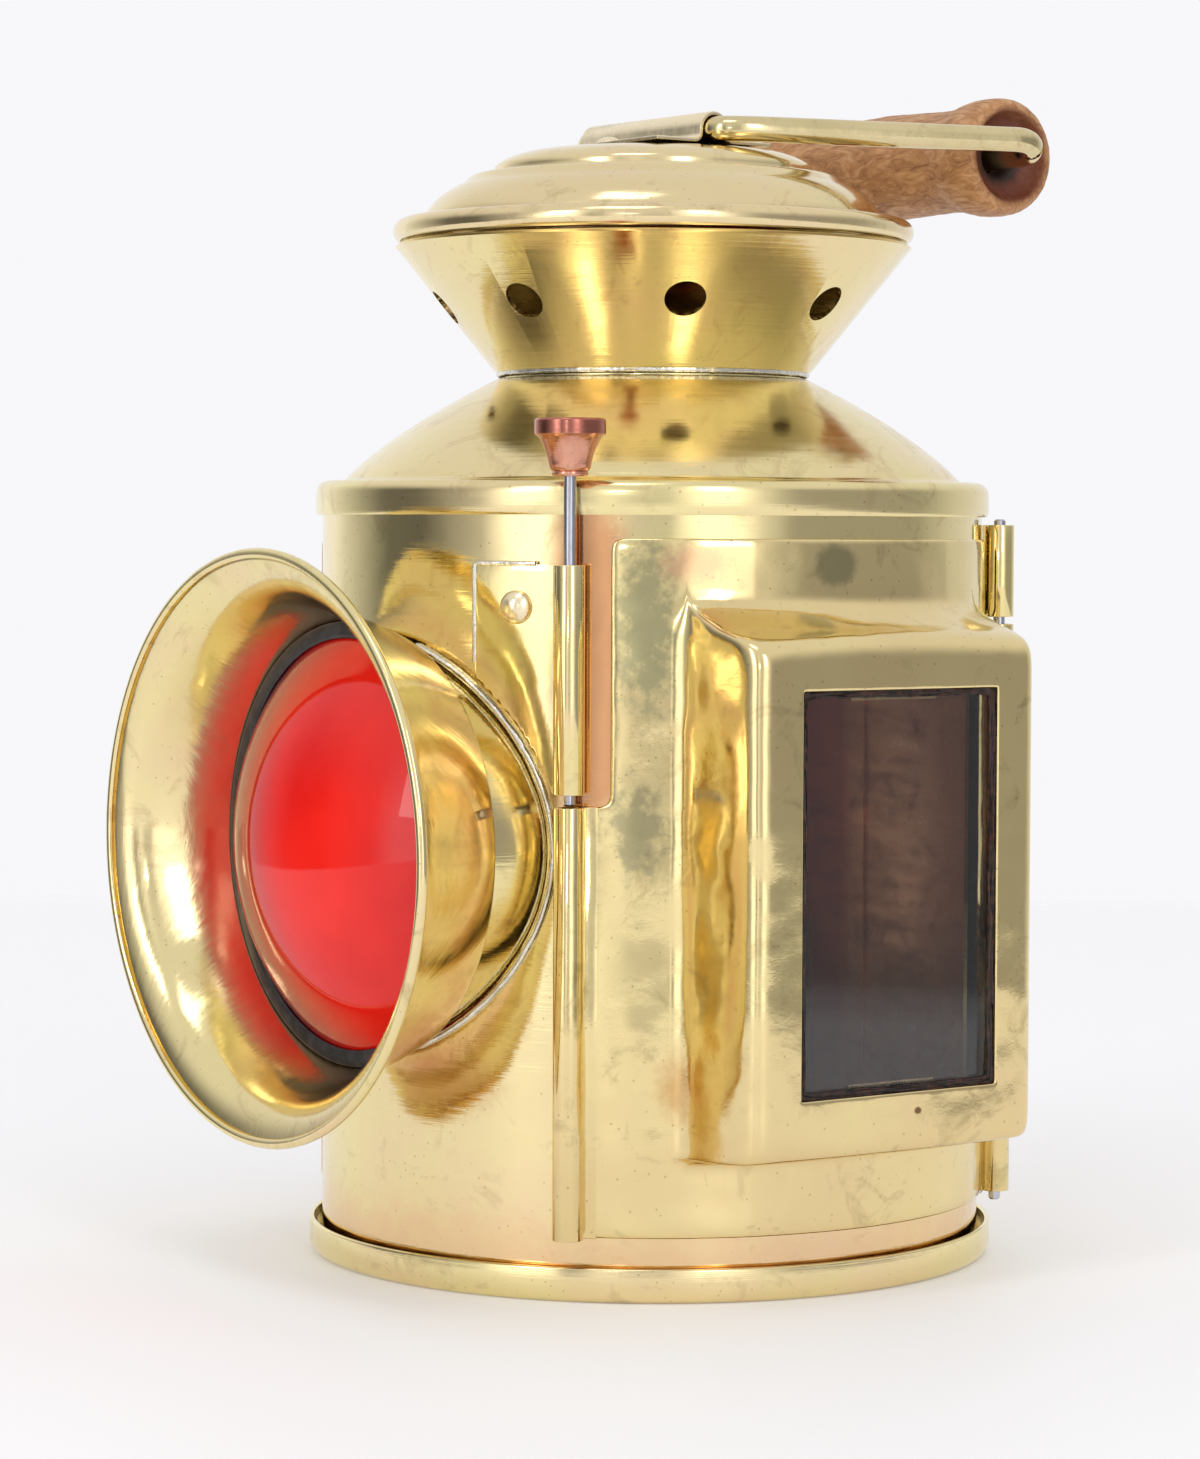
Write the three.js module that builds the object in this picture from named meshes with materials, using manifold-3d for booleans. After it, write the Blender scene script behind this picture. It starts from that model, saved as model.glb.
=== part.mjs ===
// A brass railway hand lantern for a candle: a round body with a domed red lens in a flared hood, a
// glazed side door held by a lift-up latch rod, a fixed glazed panel on the other side, a vented
// chimney with a stepped cap, and a folding bail with a wooden grip.
// Units are millimetres. +Z is up, the origin is the middle of the underside, the lens looks along -Y
// and the door is on the +X side.

import * as THREE from "three";
import Module from "manifold-3d";
import { mergeVertices } from "three/addons/utils/BufferGeometryUtils.js";

const wasm = await Module();
wasm.setup();

// ---------------------------------------------------------------- driving dimensions

const SHEET = 1; // brass sheet thickness
const GAP = 0.3; // air between neighbouring pieces
const ROUND = 32; // facets round the large turned pieces

const BODY_RADIUS = 70;
const BODY_TOP = 158.4;
const PAN_RADIUS = 72.75;
const PAN_HEIGHT = 7.1;
const PAN_SHEET = 1.1;

const BAND_RADIUS = 71.4; // skirt of the shoulder, round the top of the body
const BAND_BOTTOM = 156;
const LEDGE_Z = 163.2;
const LEDGE_INNER = 65.3;
const NECK_RADIUS = 33.1;
const NECK_Z = 184.9;

const CONE_FOOT_Z = 187.1;
const CONE_TOP_RADIUS = 54.1;
const CONE_TOP_Z = 212.7;
const VENT_COUNT = 8;
const VENT_RADIUS = 4.25;
const VENT_Z = 200.2;
const VENT_RING = 43.8;
const FIRST_VENT = 16.6; // azimuth in degrees

const CAP_RIM_RADIUS = 55.2;
const CAP_RIM_Z = 216; // middle of the rolled edge
const CAP_BEAD = 2.5; // half its height
const CAP_TOP_Z = 233.3;

const LENS_Z = 89.1; // height of the lens axis
const COLLAR_RADIUS = 41.4;
const COLLAR_END = 72; // distances along the lens axis, from the lantern's own axis
const HOOD_BACK = 70.6;
const HOOD_MOUTH = 99.3;
const HOOD_MOUTH_RADIUS = 60.3;
const LENS_RADIUS = 42.3;
const LENS_BACK = 72.4;
const LENS_EDGE = 76.4;
const LENS_FRONT = 93.9;
const LENS_HOLE_RADIUS = 38.6; // opening in the body behind the lens
const SADDLE_RADIUS = BODY_RADIUS + GAP; // face of the pieces that sit on the round body

const PANEL_BOTTOM = 12.8;
const PANEL_TOP = 151.5;
const PANEL_INNER = BODY_RADIUS + 0.4;
const BOX_FRONT = 82.9; // distance of the flat window face from the axis
const BOX_HALF = 37.2;
const BOX_BOTTOM = 28.6;
const BOX_TOP = 130;
const BOX_ROOF = 138.7; // where the sloping roof of the box meets the round sheet
const WINDOW_HALF = 25;
const WINDOW_BOTTOM = 41.7;
const WINDOW_TOP = 121.7;
const PANE = 2.2;
const PANE_LAP = 3; // how far a pane reaches past its window on every side
const CLIP_HALF = 11;

const KNUCKLE_RING = 73.8; // distance of both rod axes from the lantern's axis
const KNUCKLE_OUTER = 3.1;
const KNUCKLE_BORE = 1.6;
const LATCH_AZIMUTH = 40.5;
const HINGE_AZIMUTH = 180 - LATCH_AZIMUTH;
const LATCH_NOTCH_Z = 98.4;
const HINGE_NOTCH_Z = 133.5;
const LATCH_RIVET = { azimuth: 31, z: 137.7 };
const HINGE_RIVET = { azimuth: 150, z: 144.6 };
const TAB_SHEET = 0.9;
const TAB_OUTER = SADDLE_RADIUS + TAB_SHEET;

const ROD_RADIUS = 1.25;
const ROD_BOTTOM = 98.7; // ends in the slit between the two latch knuckles, so that the door can swing
const KNOB_BOTTOM = 163.5;
const KNOB_HEIGHT = 11.4;

const STRAP_HALF = 21.1;
const STRAP_SHEET = 0.8;
const STRAP_FOOT = 15;
const STRAP_RIVETS = [
  [-3, -9.5],
  [3, 9.5],
];
const WIRE_RADIUS = 2.7;
const PIVOT_Z = CAP_TOP_Z + GAP + WIRE_RADIUS + 0.1; // height of the bail's straight back
const GRIP_Y = 67.6; // the bail is shown folded back, with the grip behind the cap
const GRIP_Z = 233.5;
const GRIP_HALF = 38;
const BAIL_HALF = 47.7; // middle of the wire at its widest

const TRAY_RADIUS = 38;
const TRAY_TOP = 11.4;
const TRAY_RIM = 4; // height of the rim above the tray
const TRAY_FLARE = 3; // how much wider the tray is at its foot
const JAR_RADIUS = 34.9;
const JAR_WALL = 2.4;
const JAR_TOP = 72;
const JAR_FOOT = 4; // thickness of the glass under the candle
const CANDLE_RADIUS = 25;
const CANDLE_TOP = 52;

// ---------------------------------------------------------------- materials

function finish(color, roughness, metalness) {
  return new THREE.MeshStandardMaterial({ color, roughness, metalness });
}

const brass = finish(0xd8b45a, 0.22, 1);
const brassWire = finish(0xc9ad62, 0.25, 1);
const copper = finish(0xb8694a, 0.3, 1);
const steel = finish(0x8d8f9c, 0.3, 1);
const solder = finish(0xa9a8a4, 0.45, 1);
const redGlass = finish(0xd81818, 0.08, 0);
const clearGlass = finish(0xdfe6e4, 0.05, 0);
const rubber = finish(0x17181c, 0.6, 0);
const wood = finish(0xa8683c, 0.7, 0);
const wax = finish(0xf1e8cf, 0.55, 0);
const cotton = finish(0x3a332c, 0.9, 0);

// ---------------------------------------------------------------- modelling helpers

// A closed three.js geometry as a manifold-3d solid.
function solidOf(geometry) {
  const bare = geometry.clone();
  for (const name of Object.keys(bare.attributes)) {
    if (name !== "position") bare.deleteAttribute(name);
  }
  const merged = mergeVertices(bare, 1e-4);
  const corners = merged.index.array;
  const kept = [];
  for (let i = 0; i < corners.length; i += 3) {
    const [a, b, c] = corners.subarray(i, i + 3);
    if (a !== b && b !== c && c !== a) kept.push(a, b, c);
  }
  const vertProperties = merged.attributes.position.array;
  return new wasm.Manifold(new wasm.Mesh({ numProp: 3, vertProperties, triVerts: new Uint32Array(kept) }));
}

// A manifold-3d solid as a three.js geometry.
function geometryOf(solid) {
  const mesh = solid.getMesh();
  const geometry = new THREE.BufferGeometry();
  geometry.setAttribute("position", new THREE.BufferAttribute(mesh.vertProperties, 3));
  geometry.setIndex(new THREE.BufferAttribute(mesh.triVerts, 1));
  return geometry;
}

// Body minus every tool.
function cut(geometry, ...tools) {
  return geometryOf(tools.reduce((left, tool) => left.subtract(solidOf(tool)), solidOf(geometry)));
}

// All the geometries as one solid.
function join(first, ...others) {
  return geometryOf(others.reduce((left, other) => left.add(solidOf(other)), solidOf(first)));
}

// A closed outline of (radius, height) points, turned round +Z. It is started on the axis if it
// touches it, and is closed on itself if it doesn't.
function turned(outline, segments = ROUND) {
  const points = THREE.ShapeUtils.area(outline) > 0 ? [...outline] : [...outline].reverse();
  const last = points.findIndex((point, i) => point.x === 0 && points[(i + 1) % points.length].x === 0);
  const closed = [...points, points[0]];
  const fromAxis = [...points.slice(last + 1), ...points.slice(0, last + 1)];
  return new THREE.LatheGeometry(last < 0 ? closed : fromAxis, segments).rotateX(Math.PI / 2);
}

// The outline of a sheet whose outer face follows a path, thickened towards the path's left.
function sheetOutline(path, thickness, divisions = 2) {
  const outer = path.getPoints(divisions);
  const inner = outer.map((point, i) => {
    const before = outer[Math.max(i - 1, 0)];
    const after = outer[Math.min(i + 1, outer.length - 1)];
    const one = new THREE.Vector2().subVectors(point, i ? before : point).normalize();
    const two = new THREE.Vector2().subVectors(after, point).normalize();
    const run = one.lengthSq() && two.lengthSq() ? one.clone().add(two) : one.lengthSq() ? one : two;
    run.normalize();
    const spread = Math.max(one.lengthSq() ? run.dot(one) : 1, 0.6);
    const moved = new THREE.Vector2(-run.y, run.x).multiplyScalar(thickness / spread).add(point);
    if (point.x === 0) moved.x = 0;
    return moved;
  });
  return [...outer, ...inner.reverse()];
}

// A cylinder along +Z from one height to another.
function post(radius, bottom, top, segments = 16) {
  const geometry = new THREE.CylinderGeometry(radius, radius, top - bottom, segments).rotateX(Math.PI / 2);
  return geometry.translate(0, 0, (bottom + top) / 2);
}

// A box from its lowest and highest corners.
function block(low, high) {
  const size = high.map((value, i) => value - low[i]);
  return new THREE.BoxGeometry(...size).translate(...high.map((value, i) => (value + low[i]) / 2));
}

// The point at an azimuth round the body: 0 is the lens side, 90 the door side.
function round(radius, azimuth, z = 0) {
  const angle = THREE.MathUtils.degToRad(azimuth);
  return new THREE.Vector3(radius * Math.sin(angle), -radius * Math.cos(angle), z);
}

// Turns a geometry made along +Z to face outwards at an azimuth, with its foot at a radius and height.
function facing(geometry, azimuth, radius, z) {
  const turnedOut = geometry.rotateX(Math.PI / 2).rotateZ(THREE.MathUtils.degToRad(azimuth));
  const place = round(radius, azimuth, z);
  return turnedOut.translate(place.x, place.y, place.z);
}

// A piece of round sheet between two radii, two azimuths and two heights.
function curvedSheet(inner, outer, from, to, bottom, top) {
  const steps = Math.ceil(Math.abs(to - from) / 6);
  const azimuths = Array.from({ length: steps + 1 }, (_, i) => from + ((to - from) * i) / steps);
  const outerFace = azimuths.map((azimuth) => round(outer, azimuth));
  const innerFace = azimuths.map((azimuth) => round(inner, azimuth)).reverse();
  const outline = [...outerFace, ...innerFace];
  const shape = new THREE.Shape(outline.map((point) => new THREE.Vector2(point.x, point.y)));
  const geometry = new THREE.ExtrudeGeometry(shape, { depth: top - bottom, bevelEnabled: false });
  return geometry.translate(0, 0, bottom);
}

const group = new THREE.Group();

function add(name, geometry, material) {
  const mesh = new THREE.Mesh(geometry, material);
  mesh.name = name;
  group.add(mesh);
}

// ---------------------------------------------------------------- base pan and body

// A shallow dish: flat floor, rounded corner, short wall that the body stands in.
function basePan() {
  const corner = 2.2;
  const path = new THREE.Path();
  path.moveTo(0, 0);
  path.lineTo(PAN_RADIUS - corner, 0);
  path.absarc(PAN_RADIUS - corner, corner, corner, -Math.PI / 2, 0, false);
  path.lineTo(PAN_RADIUS, PAN_HEIGHT);
  add("base_pan", turned(sheetOutline(path, PAN_SHEET)), brass);
}

// The body is one sheet rolled into a tube, with holes for the lens, the door and the fixed window.
function bodyShell() {
  const bottom = PAN_SHEET + GAP;
  const wall = [
    [BODY_RADIUS - SHEET, bottom],
    [BODY_RADIUS, bottom],
    [BODY_RADIUS, BODY_TOP],
    [BODY_RADIUS - SHEET, BODY_TOP],
  ].map(([x, y]) => new THREE.Vector2(x, y));
  const lensHole = new THREE.CylinderGeometry(LENS_HOLE_RADIUS, LENS_HOLE_RADIUS, 40, 40);
  lensHole.translate(0, -BODY_RADIUS, LENS_Z);
  const doorHole = block([50, -36.4, 26], [80, 36.4, 136]);
  const windowHole = block([-80, -30, 36], [-50, 30, 126]);
  const rivetHoles = [rivetHole(LATCH_RIVET), rivetHole(HINGE_RIVET)];
  add("body_shell", cut(turned(wall), lensHole, doorHole, windowHole, ...rivetHoles), brass);
}

// ---------------------------------------------------------------- shoulder, chimney and cap

// One spinning: a skirt over the top of the body, a flat ledge and a dome up to the neck.
function shoulder() {
  const path = new THREE.Path();
  path.moveTo(BAND_RADIUS, BAND_BOTTOM);
  path.lineTo(BAND_RADIUS, LEDGE_Z - 2.2);
  path.quadraticCurveTo(BAND_RADIUS, LEDGE_Z, BAND_RADIUS - 2.2, LEDGE_Z);
  path.lineTo(LEDGE_INNER, LEDGE_Z);
  path.quadraticCurveTo(54.2, 174.3, NECK_RADIUS, NECK_Z);
  add("shoulder_dome", turned(sheetOutline(path, SHEET)), brass);
}

// The chimney flares upwards from a short foot inside the neck, with a ring of round vents.
function ventCone() {
  const foot = NECK_RADIUS - SHEET - 1;
  const path = new THREE.Path();
  path.moveTo(foot, NECK_Z - 6);
  path.lineTo(foot, CONE_FOOT_Z - 0.6);
  path.lineTo(NECK_RADIUS, CONE_FOOT_Z);
  path.lineTo(CONE_TOP_RADIUS, CONE_TOP_Z);
  const lean = Math.atan2(CONE_TOP_Z - CONE_FOOT_Z, CONE_TOP_RADIUS - NECK_RADIUS) - Math.PI / 2;
  const vents = Array.from({ length: VENT_COUNT }, (_, i) => {
    const azimuth = FIRST_VENT + (360 / VENT_COUNT) * i;
    return facing(post(VENT_RADIUS, -8, 8, 20).rotateX(-lean), azimuth, VENT_RING, VENT_Z);
  });
  add("vent_cone", cut(turned(sheetOutline(path, SHEET)), ...vents), brass);
}

// A bead of solder fills the groove between the shoulder and the chimney.
function neckSolder() {
  const low = NECK_Z + GAP + 0.1;
  const high = CONE_FOOT_Z - GAP - 0.1;
  const bead = new THREE.Path();
  bead.moveTo(NECK_RADIUS - 1.4, low);
  bead.lineTo(NECK_RADIUS, low);
  bead.quadraticCurveTo(NECK_RADIUS + 0.9, (low + high) / 2, NECK_RADIUS, high);
  bead.lineTo(NECK_RADIUS - 0.6, high);
  add("neck_solder", turned(bead.getPoints(3)), solder);
}

// The cap rises in two rounded steps to a flat top, and its edge is rolled over.
function topCap() {
  const low = CAP_RIM_Z - CAP_BEAD;
  const high = CAP_RIM_Z + CAP_BEAD;
  const path = new THREE.Path();
  path.moveTo(CAP_RIM_RADIUS - 2.4, low);
  path.quadraticCurveTo(CAP_RIM_RADIUS, low, CAP_RIM_RADIUS, CAP_RIM_Z);
  path.quadraticCurveTo(CAP_RIM_RADIUS, high, CAP_RIM_RADIUS - 2.4, high);
  path.lineTo(50.2, high);
  path.quadraticCurveTo(46, 223.6, 38.5, 226.8);
  path.lineTo(37.2, 227.4);
  path.quadraticCurveTo(34.2, 232.2, 19, CAP_TOP_Z);
  path.lineTo(0, CAP_TOP_Z);
  const holes = STRAP_RIVETS.map(([x, y]) => post(2.1, 220, 240).translate(x, y, 0));
  add("top_cap", cut(turned(sheetOutline(path, SHEET)), ...holes), brass);
}

// ---------------------------------------------------------------- lens and hood

// Pieces of the lens are turned round +Z and then laid along -Y at the height of the lens axis.
const alongLens = (geometry) => geometry.rotateX(Math.PI / 2).translate(0, 0, LENS_Z);

// A short tube saddled on the body. It carries the hood and the back of the lens.
function lensCollar() {
  const ring = [
    [COLLAR_RADIUS - SHEET, 50],
    [COLLAR_RADIUS, 50],
    [COLLAR_RADIUS, COLLAR_END],
    [COLLAR_RADIUS - SHEET, COLLAR_END],
  ].map(([x, y]) => new THREE.Vector2(x, y));
  const tube = alongLens(turned(ring));
  add("lens_collar", cut(tube, post(SADDLE_RADIUS, 0, 150, ROUND)), brass);
}

// Soft solder is run round the foot of the collar. The hood covers its top and bottom, so it shows as
// a crescent on each side.
function collarSolder() {
  const fillet = alongLens(turned(
    [
      [COLLAR_RADIUS + GAP, 50],
      [COLLAR_RADIUS + 2.8, 50],
      [COLLAR_RADIUS + 2.2, HOOD_BACK - GAP - 0.4],
      [COLLAR_RADIUS + GAP, HOOD_BACK - GAP - 0.4],
    ].map(([x, y]) => new THREE.Vector2(x, y)),
  ));
  const layer = solidOf(post(SADDLE_RADIUS + 1.8, 0, 150, ROUND));
  const band = layer.subtract(solidOf(post(SADDLE_RADIUS, -1, 151, ROUND)));
  const around = solidOf(fillet).intersect(band);
  for (const [side, x] of [["door_side", 1], ["far_side", -1]]) {
    const half = solidOf(block([Math.min(x * 60, x * 14), -99, 0], [Math.max(x * 60, x * 14), 0, 180]));
    add(`collar_solder_${side}`, geometryOf(around.intersect(half)), solder);
  }
}

// A spun hood: an inward flange on the collar, a slow cone and a flared mouth with a rolled edge.
function lensHood() {
  const lip = HOOD_MOUTH_RADIUS - 0.9;
  const path = new THREE.Path();
  path.moveTo(COLLAR_RADIUS + GAP, HOOD_BACK);
  path.lineTo(43.4, HOOD_BACK);
  path.lineTo(44.6, HOOD_BACK + 1);
  path.lineTo(51, 89.5);
  path.quadraticCurveTo(53, 96.4, lip, HOOD_MOUTH - 1.4);
  path.quadraticCurveTo(HOOD_MOUTH_RADIUS, HOOD_MOUTH - 1.2, HOOD_MOUTH_RADIUS, HOOD_MOUTH - 0.4);
  path.lineTo(lip, HOOD_MOUTH);
  add("lens_hood", alongLens(turned(sheetOutline(path, SHEET))), brass);
}

// A plano-convex glass, domed towards the front.
function redLens() {
  const path = new THREE.Path();
  path.moveTo(0, LENS_BACK);
  path.lineTo(LENS_RADIUS, LENS_BACK);
  path.lineTo(LENS_RADIUS, LENS_EDGE);
  const rise = LENS_FRONT - LENS_EDGE;
  const sphere = (LENS_RADIUS ** 2 + rise ** 2) / (2 * rise);
  path.absarc(0, LENS_FRONT - sphere, sphere, Math.acos(LENS_RADIUS / sphere), Math.PI / 2, false);
  const outline = path.getPoints(5);
  outline.at(-1).x = 0;
  add("red_lens", alongLens(turned(outline)), redGlass);
}

// The black packing ring grips the edge of the glass and fills the space to the hood.
function lensGasket() {
  const face = LENS_EDGE + 1.2;
  const shape = new THREE.Shape();
  shape.moveTo(LENS_RADIUS + GAP, LENS_EDGE - 2.4);
  shape.lineTo(44.2, LENS_EDGE - 1.4);
  shape.lineTo(45.3, LENS_EDGE + 0.4);
  shape.quadraticCurveTo(45.4, face, 43.8, face);
  shape.quadraticCurveTo(41.8, face, 41.8, LENS_EDGE + 0.8);
  shape.lineTo(LENS_RADIUS + GAP, LENS_EDGE + 0.3);
  add("lens_gasket", alongLens(turned(shape.getPoints(3))), rubber);
}

// ---------------------------------------------------------------- glazed panels

// Stations across and up a panel. On "front" stations the sheet lies on the flat window face of the
// pressed box, and elsewhere on the round body. The second number is the same station on the inside.
function panelColumns(edges) {
  const azimuthY = (azimuth) => -Math.cos(THREE.MathUtils.degToRad(azimuth)) * BODY_RADIUS;
  const left = [
    { y: -BOX_HALF - 0.5, inside: SHEET, front: false },
    { y: -BOX_HALF, inside: SHEET, front: true },
    { y: -(BOX_HALF + WINDOW_HALF) / 2, inside: 0, front: true },
    { y: -WINDOW_HALF, inside: 0, front: true },
    { y: (-WINDOW_HALF * 2) / 3, inside: 0, front: true },
    { y: -WINDOW_HALF / 3, inside: 0, front: true },
  ];
  const middle = { y: 0, inside: 0, front: true };
  const right = left.map(({ y, inside, front }) => ({ y: -y, inside: -inside, front })).reverse();
  const [first, last] = edges.map((list) => list.map((a) => ({ y: azimuthY(a), inside: 0, front: false })));
  return [...first, ...left, middle, ...right, ...last];
}

const panelRows = [
  { z: PANEL_BOTTOM, inside: 0, front: false },
  { z: BOX_BOTTOM - 0.5, inside: SHEET, front: false },
  { z: BOX_BOTTOM, inside: SHEET, front: true },
  { z: WINDOW_BOTTOM, inside: 0, front: true },
  { z: LATCH_NOTCH_Z, inside: 0, front: true },
  { z: WINDOW_TOP, inside: 0, front: true },
  { z: BOX_TOP, inside: -SHEET, front: true },
  { z: HINGE_NOTCH_Z, inside: -SHEET, front: false, part: 0.4 },
  { z: BOX_ROOF, inside: -SHEET, front: false },
  { z: PANEL_TOP, inside: 0, front: false },
];

// One face of a panel, outer or inner, as a point for a column and a row.
function panelPoint(column, row, isInner) {
  const radius = isInner ? PANEL_INNER : PANEL_INNER + SHEET;
  const front = isInner ? BOX_FRONT - SHEET : BOX_FRONT;
  const scale = radius / BODY_RADIUS;
  const isEdge = Math.abs(column.y) > BOX_HALF + 0.6;
  const y = isEdge ? column.y * scale : column.y + (isInner ? column.inside : 0);
  const onRound = Math.sqrt(radius ** 2 - y ** 2);
  const share = row.front ? 1 : 1 - (row.part ?? 1);
  const x = column.front ? onRound + (front - onRound) * share : onRound;
  return [x, y, row.z + (isInner && column.front ? row.inside : 0)];
}

// A closed sheet over the columns and rows, without the cells that leave(i, j) names.
function panelSheet(columns, rows, leave) {
  const wide = columns.length;
  const layer = wide * rows.length;
  const positions = [true, false].flatMap((isInner) =>
    rows.flatMap((row) => columns.flatMap((column) => panelPoint(column, row, isInner))),
  );
  const index = [];
  const quad = (a, b, c, d) => index.push(a, b, c, a, c, d);
  const has = (i, j) => i >= 0 && j >= 0 && i < wide - 1 && j < rows.length - 1 && !leave(i, j);
  const at = (i, j, isOuter) => (isOuter ? layer : 0) + j * wide + i;
  for (let j = 0; j < rows.length - 1; j++) {
    for (let i = 0; i < wide - 1; i++) {
      if (!has(i, j)) continue;
      quad(at(i, j, 1), at(i + 1, j, 1), at(i + 1, j + 1, 1), at(i, j + 1, 1));
      quad(at(i, j, 0), at(i, j + 1, 0), at(i + 1, j + 1, 0), at(i + 1, j, 0));
      if (!has(i - 1, j)) quad(at(i, j, 0), at(i, j, 1), at(i, j + 1, 1), at(i, j + 1, 0));
      if (!has(i + 1, j)) quad(at(i + 1, j, 0), at(i + 1, j + 1, 0), at(i + 1, j + 1, 1), at(i + 1, j, 1));
      if (!has(i, j - 1)) quad(at(i, j, 0), at(i + 1, j, 0), at(i + 1, j, 1), at(i, j, 1));
      if (!has(i, j + 1)) quad(at(i, j + 1, 0), at(i, j + 1, 1), at(i + 1, j + 1, 1), at(i + 1, j + 1, 0));
    }
  }
  const geometry = new THREE.BufferGeometry();
  geometry.setAttribute("position", new THREE.BufferAttribute(new Float32Array(positions), 3));
  geometry.setIndex(index);
  return geometry;
}

// A tube round one of the rod axes, made by rolling the edge of a sheet.
function knuckle(azimuth, bottom, top) {
  const centre = round(KNUCKLE_RING, azimuth);
  const tube = cut(post(KNUCKLE_OUTER, bottom, top, 20), post(KNUCKLE_BORE, bottom - 1, top + 1, 20));
  return tube.translate(centre.x, centre.y, 0);
}

const isRow = (j, z) => panelRows[j].z >= z;
const isWindow = (columns, i, j) => {
  const middle = (columns[i].y + columns[i + 1].y) / 2;
  const isAcross = columns[i].front && columns[i + 1].front && Math.abs(middle) < WINDOW_HALF;
  return isAcross && panelRows[j].z >= WINDOW_BOTTOM && panelRows[j].z < WINDOW_TOP;
};

// The door: both upright edges are rolled into knuckles at the bottom and notched at the top.
function doorPanel() {
  const columns = panelColumns([[41.5, 46.5, 52], [128, 133.5, 138.5]]);
  const sheet = panelSheet(columns, panelRows, (i, j) => {
    const isLatchNotch = i === 0 && isRow(j, LATCH_NOTCH_Z);
    const isHingeNotch = i === columns.length - 2 && isRow(j, HINGE_NOTCH_Z);
    return isLatchNotch || isHingeNotch || isWindow(columns, i, j);
  });
  const latchKnuckle = knuckle(LATCH_AZIMUTH, PANEL_BOTTOM, LATCH_NOTCH_Z);
  const hingeKnuckle = knuckle(HINGE_AZIMUTH, PANEL_BOTTOM, HINGE_NOTCH_Z);
  add("door_panel", join(sheet, latchKnuckle, hingeKnuckle), brass);
}

// The panel on the other side is the same pressing, left flat-edged and soldered to the body.
function fixedPanel() {
  const columns = panelColumns([[40.5, 46, 52], [128, 134, 139.5]]);
  const sheet = panelSheet(columns, panelRows, (i, j) => isWindow(columns, i, j));
  add("fixed_panel", geometryOf(solidOf(sheet)).rotateZ(Math.PI), brass);
}

// A pane behind the window face, held by a bent clip at its top and at its bottom.
function glazing(prefix, turn) {
  const front = BOX_FRONT - SHEET - GAP;
  const low = WINDOW_BOTTOM - PANE_LAP;
  const high = WINDOW_TOP + PANE_LAP;
  const wide = WINDOW_HALF + PANE_LAP;
  const pane = block([front - PANE, -wide, low], [front, wide, high]);
  add(`${prefix}_glass`, pane.rotateZ(turn), clearGlass);
  const back = front - PANE - GAP;
  const clip = (foot, lip, edge) => {
    const barLow = [back - SHEET, -CLIP_HALF, Math.min(foot, lip)];
    const barHigh = [back, CLIP_HALF, Math.max(foot, lip)];
    const legLow = [back - SHEET, -CLIP_HALF, Math.min(foot, edge)];
    const legHigh = [front, CLIP_HALF, Math.max(foot, edge)];
    return join(block(barLow, barHigh), block(legLow, legHigh)).rotateZ(turn);
  };
  add(`${prefix}_clip_bottom`, clip(low - 1.6, low + 5, low - GAP), brass);
  add(`${prefix}_clip_top`, clip(high + 1.6, high - 5, high + GAP), brass);
}

// ---------------------------------------------------------------- latch and hinge

// A domed rivet along +Z, with its head on top of a plate and its tail below the body wall.
function rivet(headRadius, headHeight, grip) {
  const shank = 1.9;
  const outline = new THREE.Path();
  outline.moveTo(0, -grip - 0.9);
  outline.lineTo(shank + 0.7, -grip - 0.9);
  outline.lineTo(shank + 0.7, -grip);
  outline.lineTo(shank, -grip);
  outline.lineTo(shank, 0);
  outline.lineTo(headRadius, 0);
  outline.quadraticCurveTo(headRadius, headHeight, 0, headHeight);
  const points = outline.getPoints(3);
  points.at(-1).x = 0;
  return turned(points, 12);
}

// The hole that a tab's rivet needs in the body and in the tab.
const rivetHole = ({ azimuth, z }) => facing(post(2.2, -6, 6), azimuth, BODY_RADIUS, z);

// A tab riveted to the body, with its edge rolled into a knuckle for a rod.
function knuckleTab(name, { azimuth, from, bottom, top, rivetAt, tools }) {
  const first = Math.min(from, azimuth);
  const last = Math.max(from, azimuth);
  const leaf = curvedSheet(SADDLE_RADIUS, TAB_OUTER, first, last, bottom, top);
  const roll = knuckle(azimuth, bottom, top);
  add(name, cut(join(leaf, roll), rivetHole(rivetAt), ...tools), brass);
  const head = rivet(3.7, 1.9, TAB_OUTER - BODY_RADIUS + SHEET + 4 * GAP);
  add(`${name}_rivet`, facing(head, rivetAt.azimuth, TAB_OUTER + GAP, rivetAt.z), brass);
}

function tabs() {
  const roundCollar = alongLens(post(COLLAR_RADIUS + 3.6, 40, 110, ROUND));
  knuckleTab("latch_tab", {
    azimuth: LATCH_AZIMUTH,
    from: 23.5,
    bottom: LATCH_NOTCH_Z + 2.5,
    top: 146.1,
    rivetAt: LATCH_RIVET,
    tools: [roundCollar],
  });
  knuckleTab("hinge_tab", {
    azimuth: HINGE_AZIMUTH,
    from: 157,
    bottom: HINGE_NOTCH_Z + 1.5,
    top: 154.4,
    rivetAt: HINGE_RIVET,
    tools: [],
  });
}

// The hinge pin is a straight wire through both hinge knuckles.
function hingePin() {
  const centre = round(KNUCKLE_RING, HINGE_AZIMUTH);
  add("hinge_pin", post(ROD_RADIUS, 10.8, 155.6, 12).translate(centre.x, centre.y, 0), steel);
}

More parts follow.
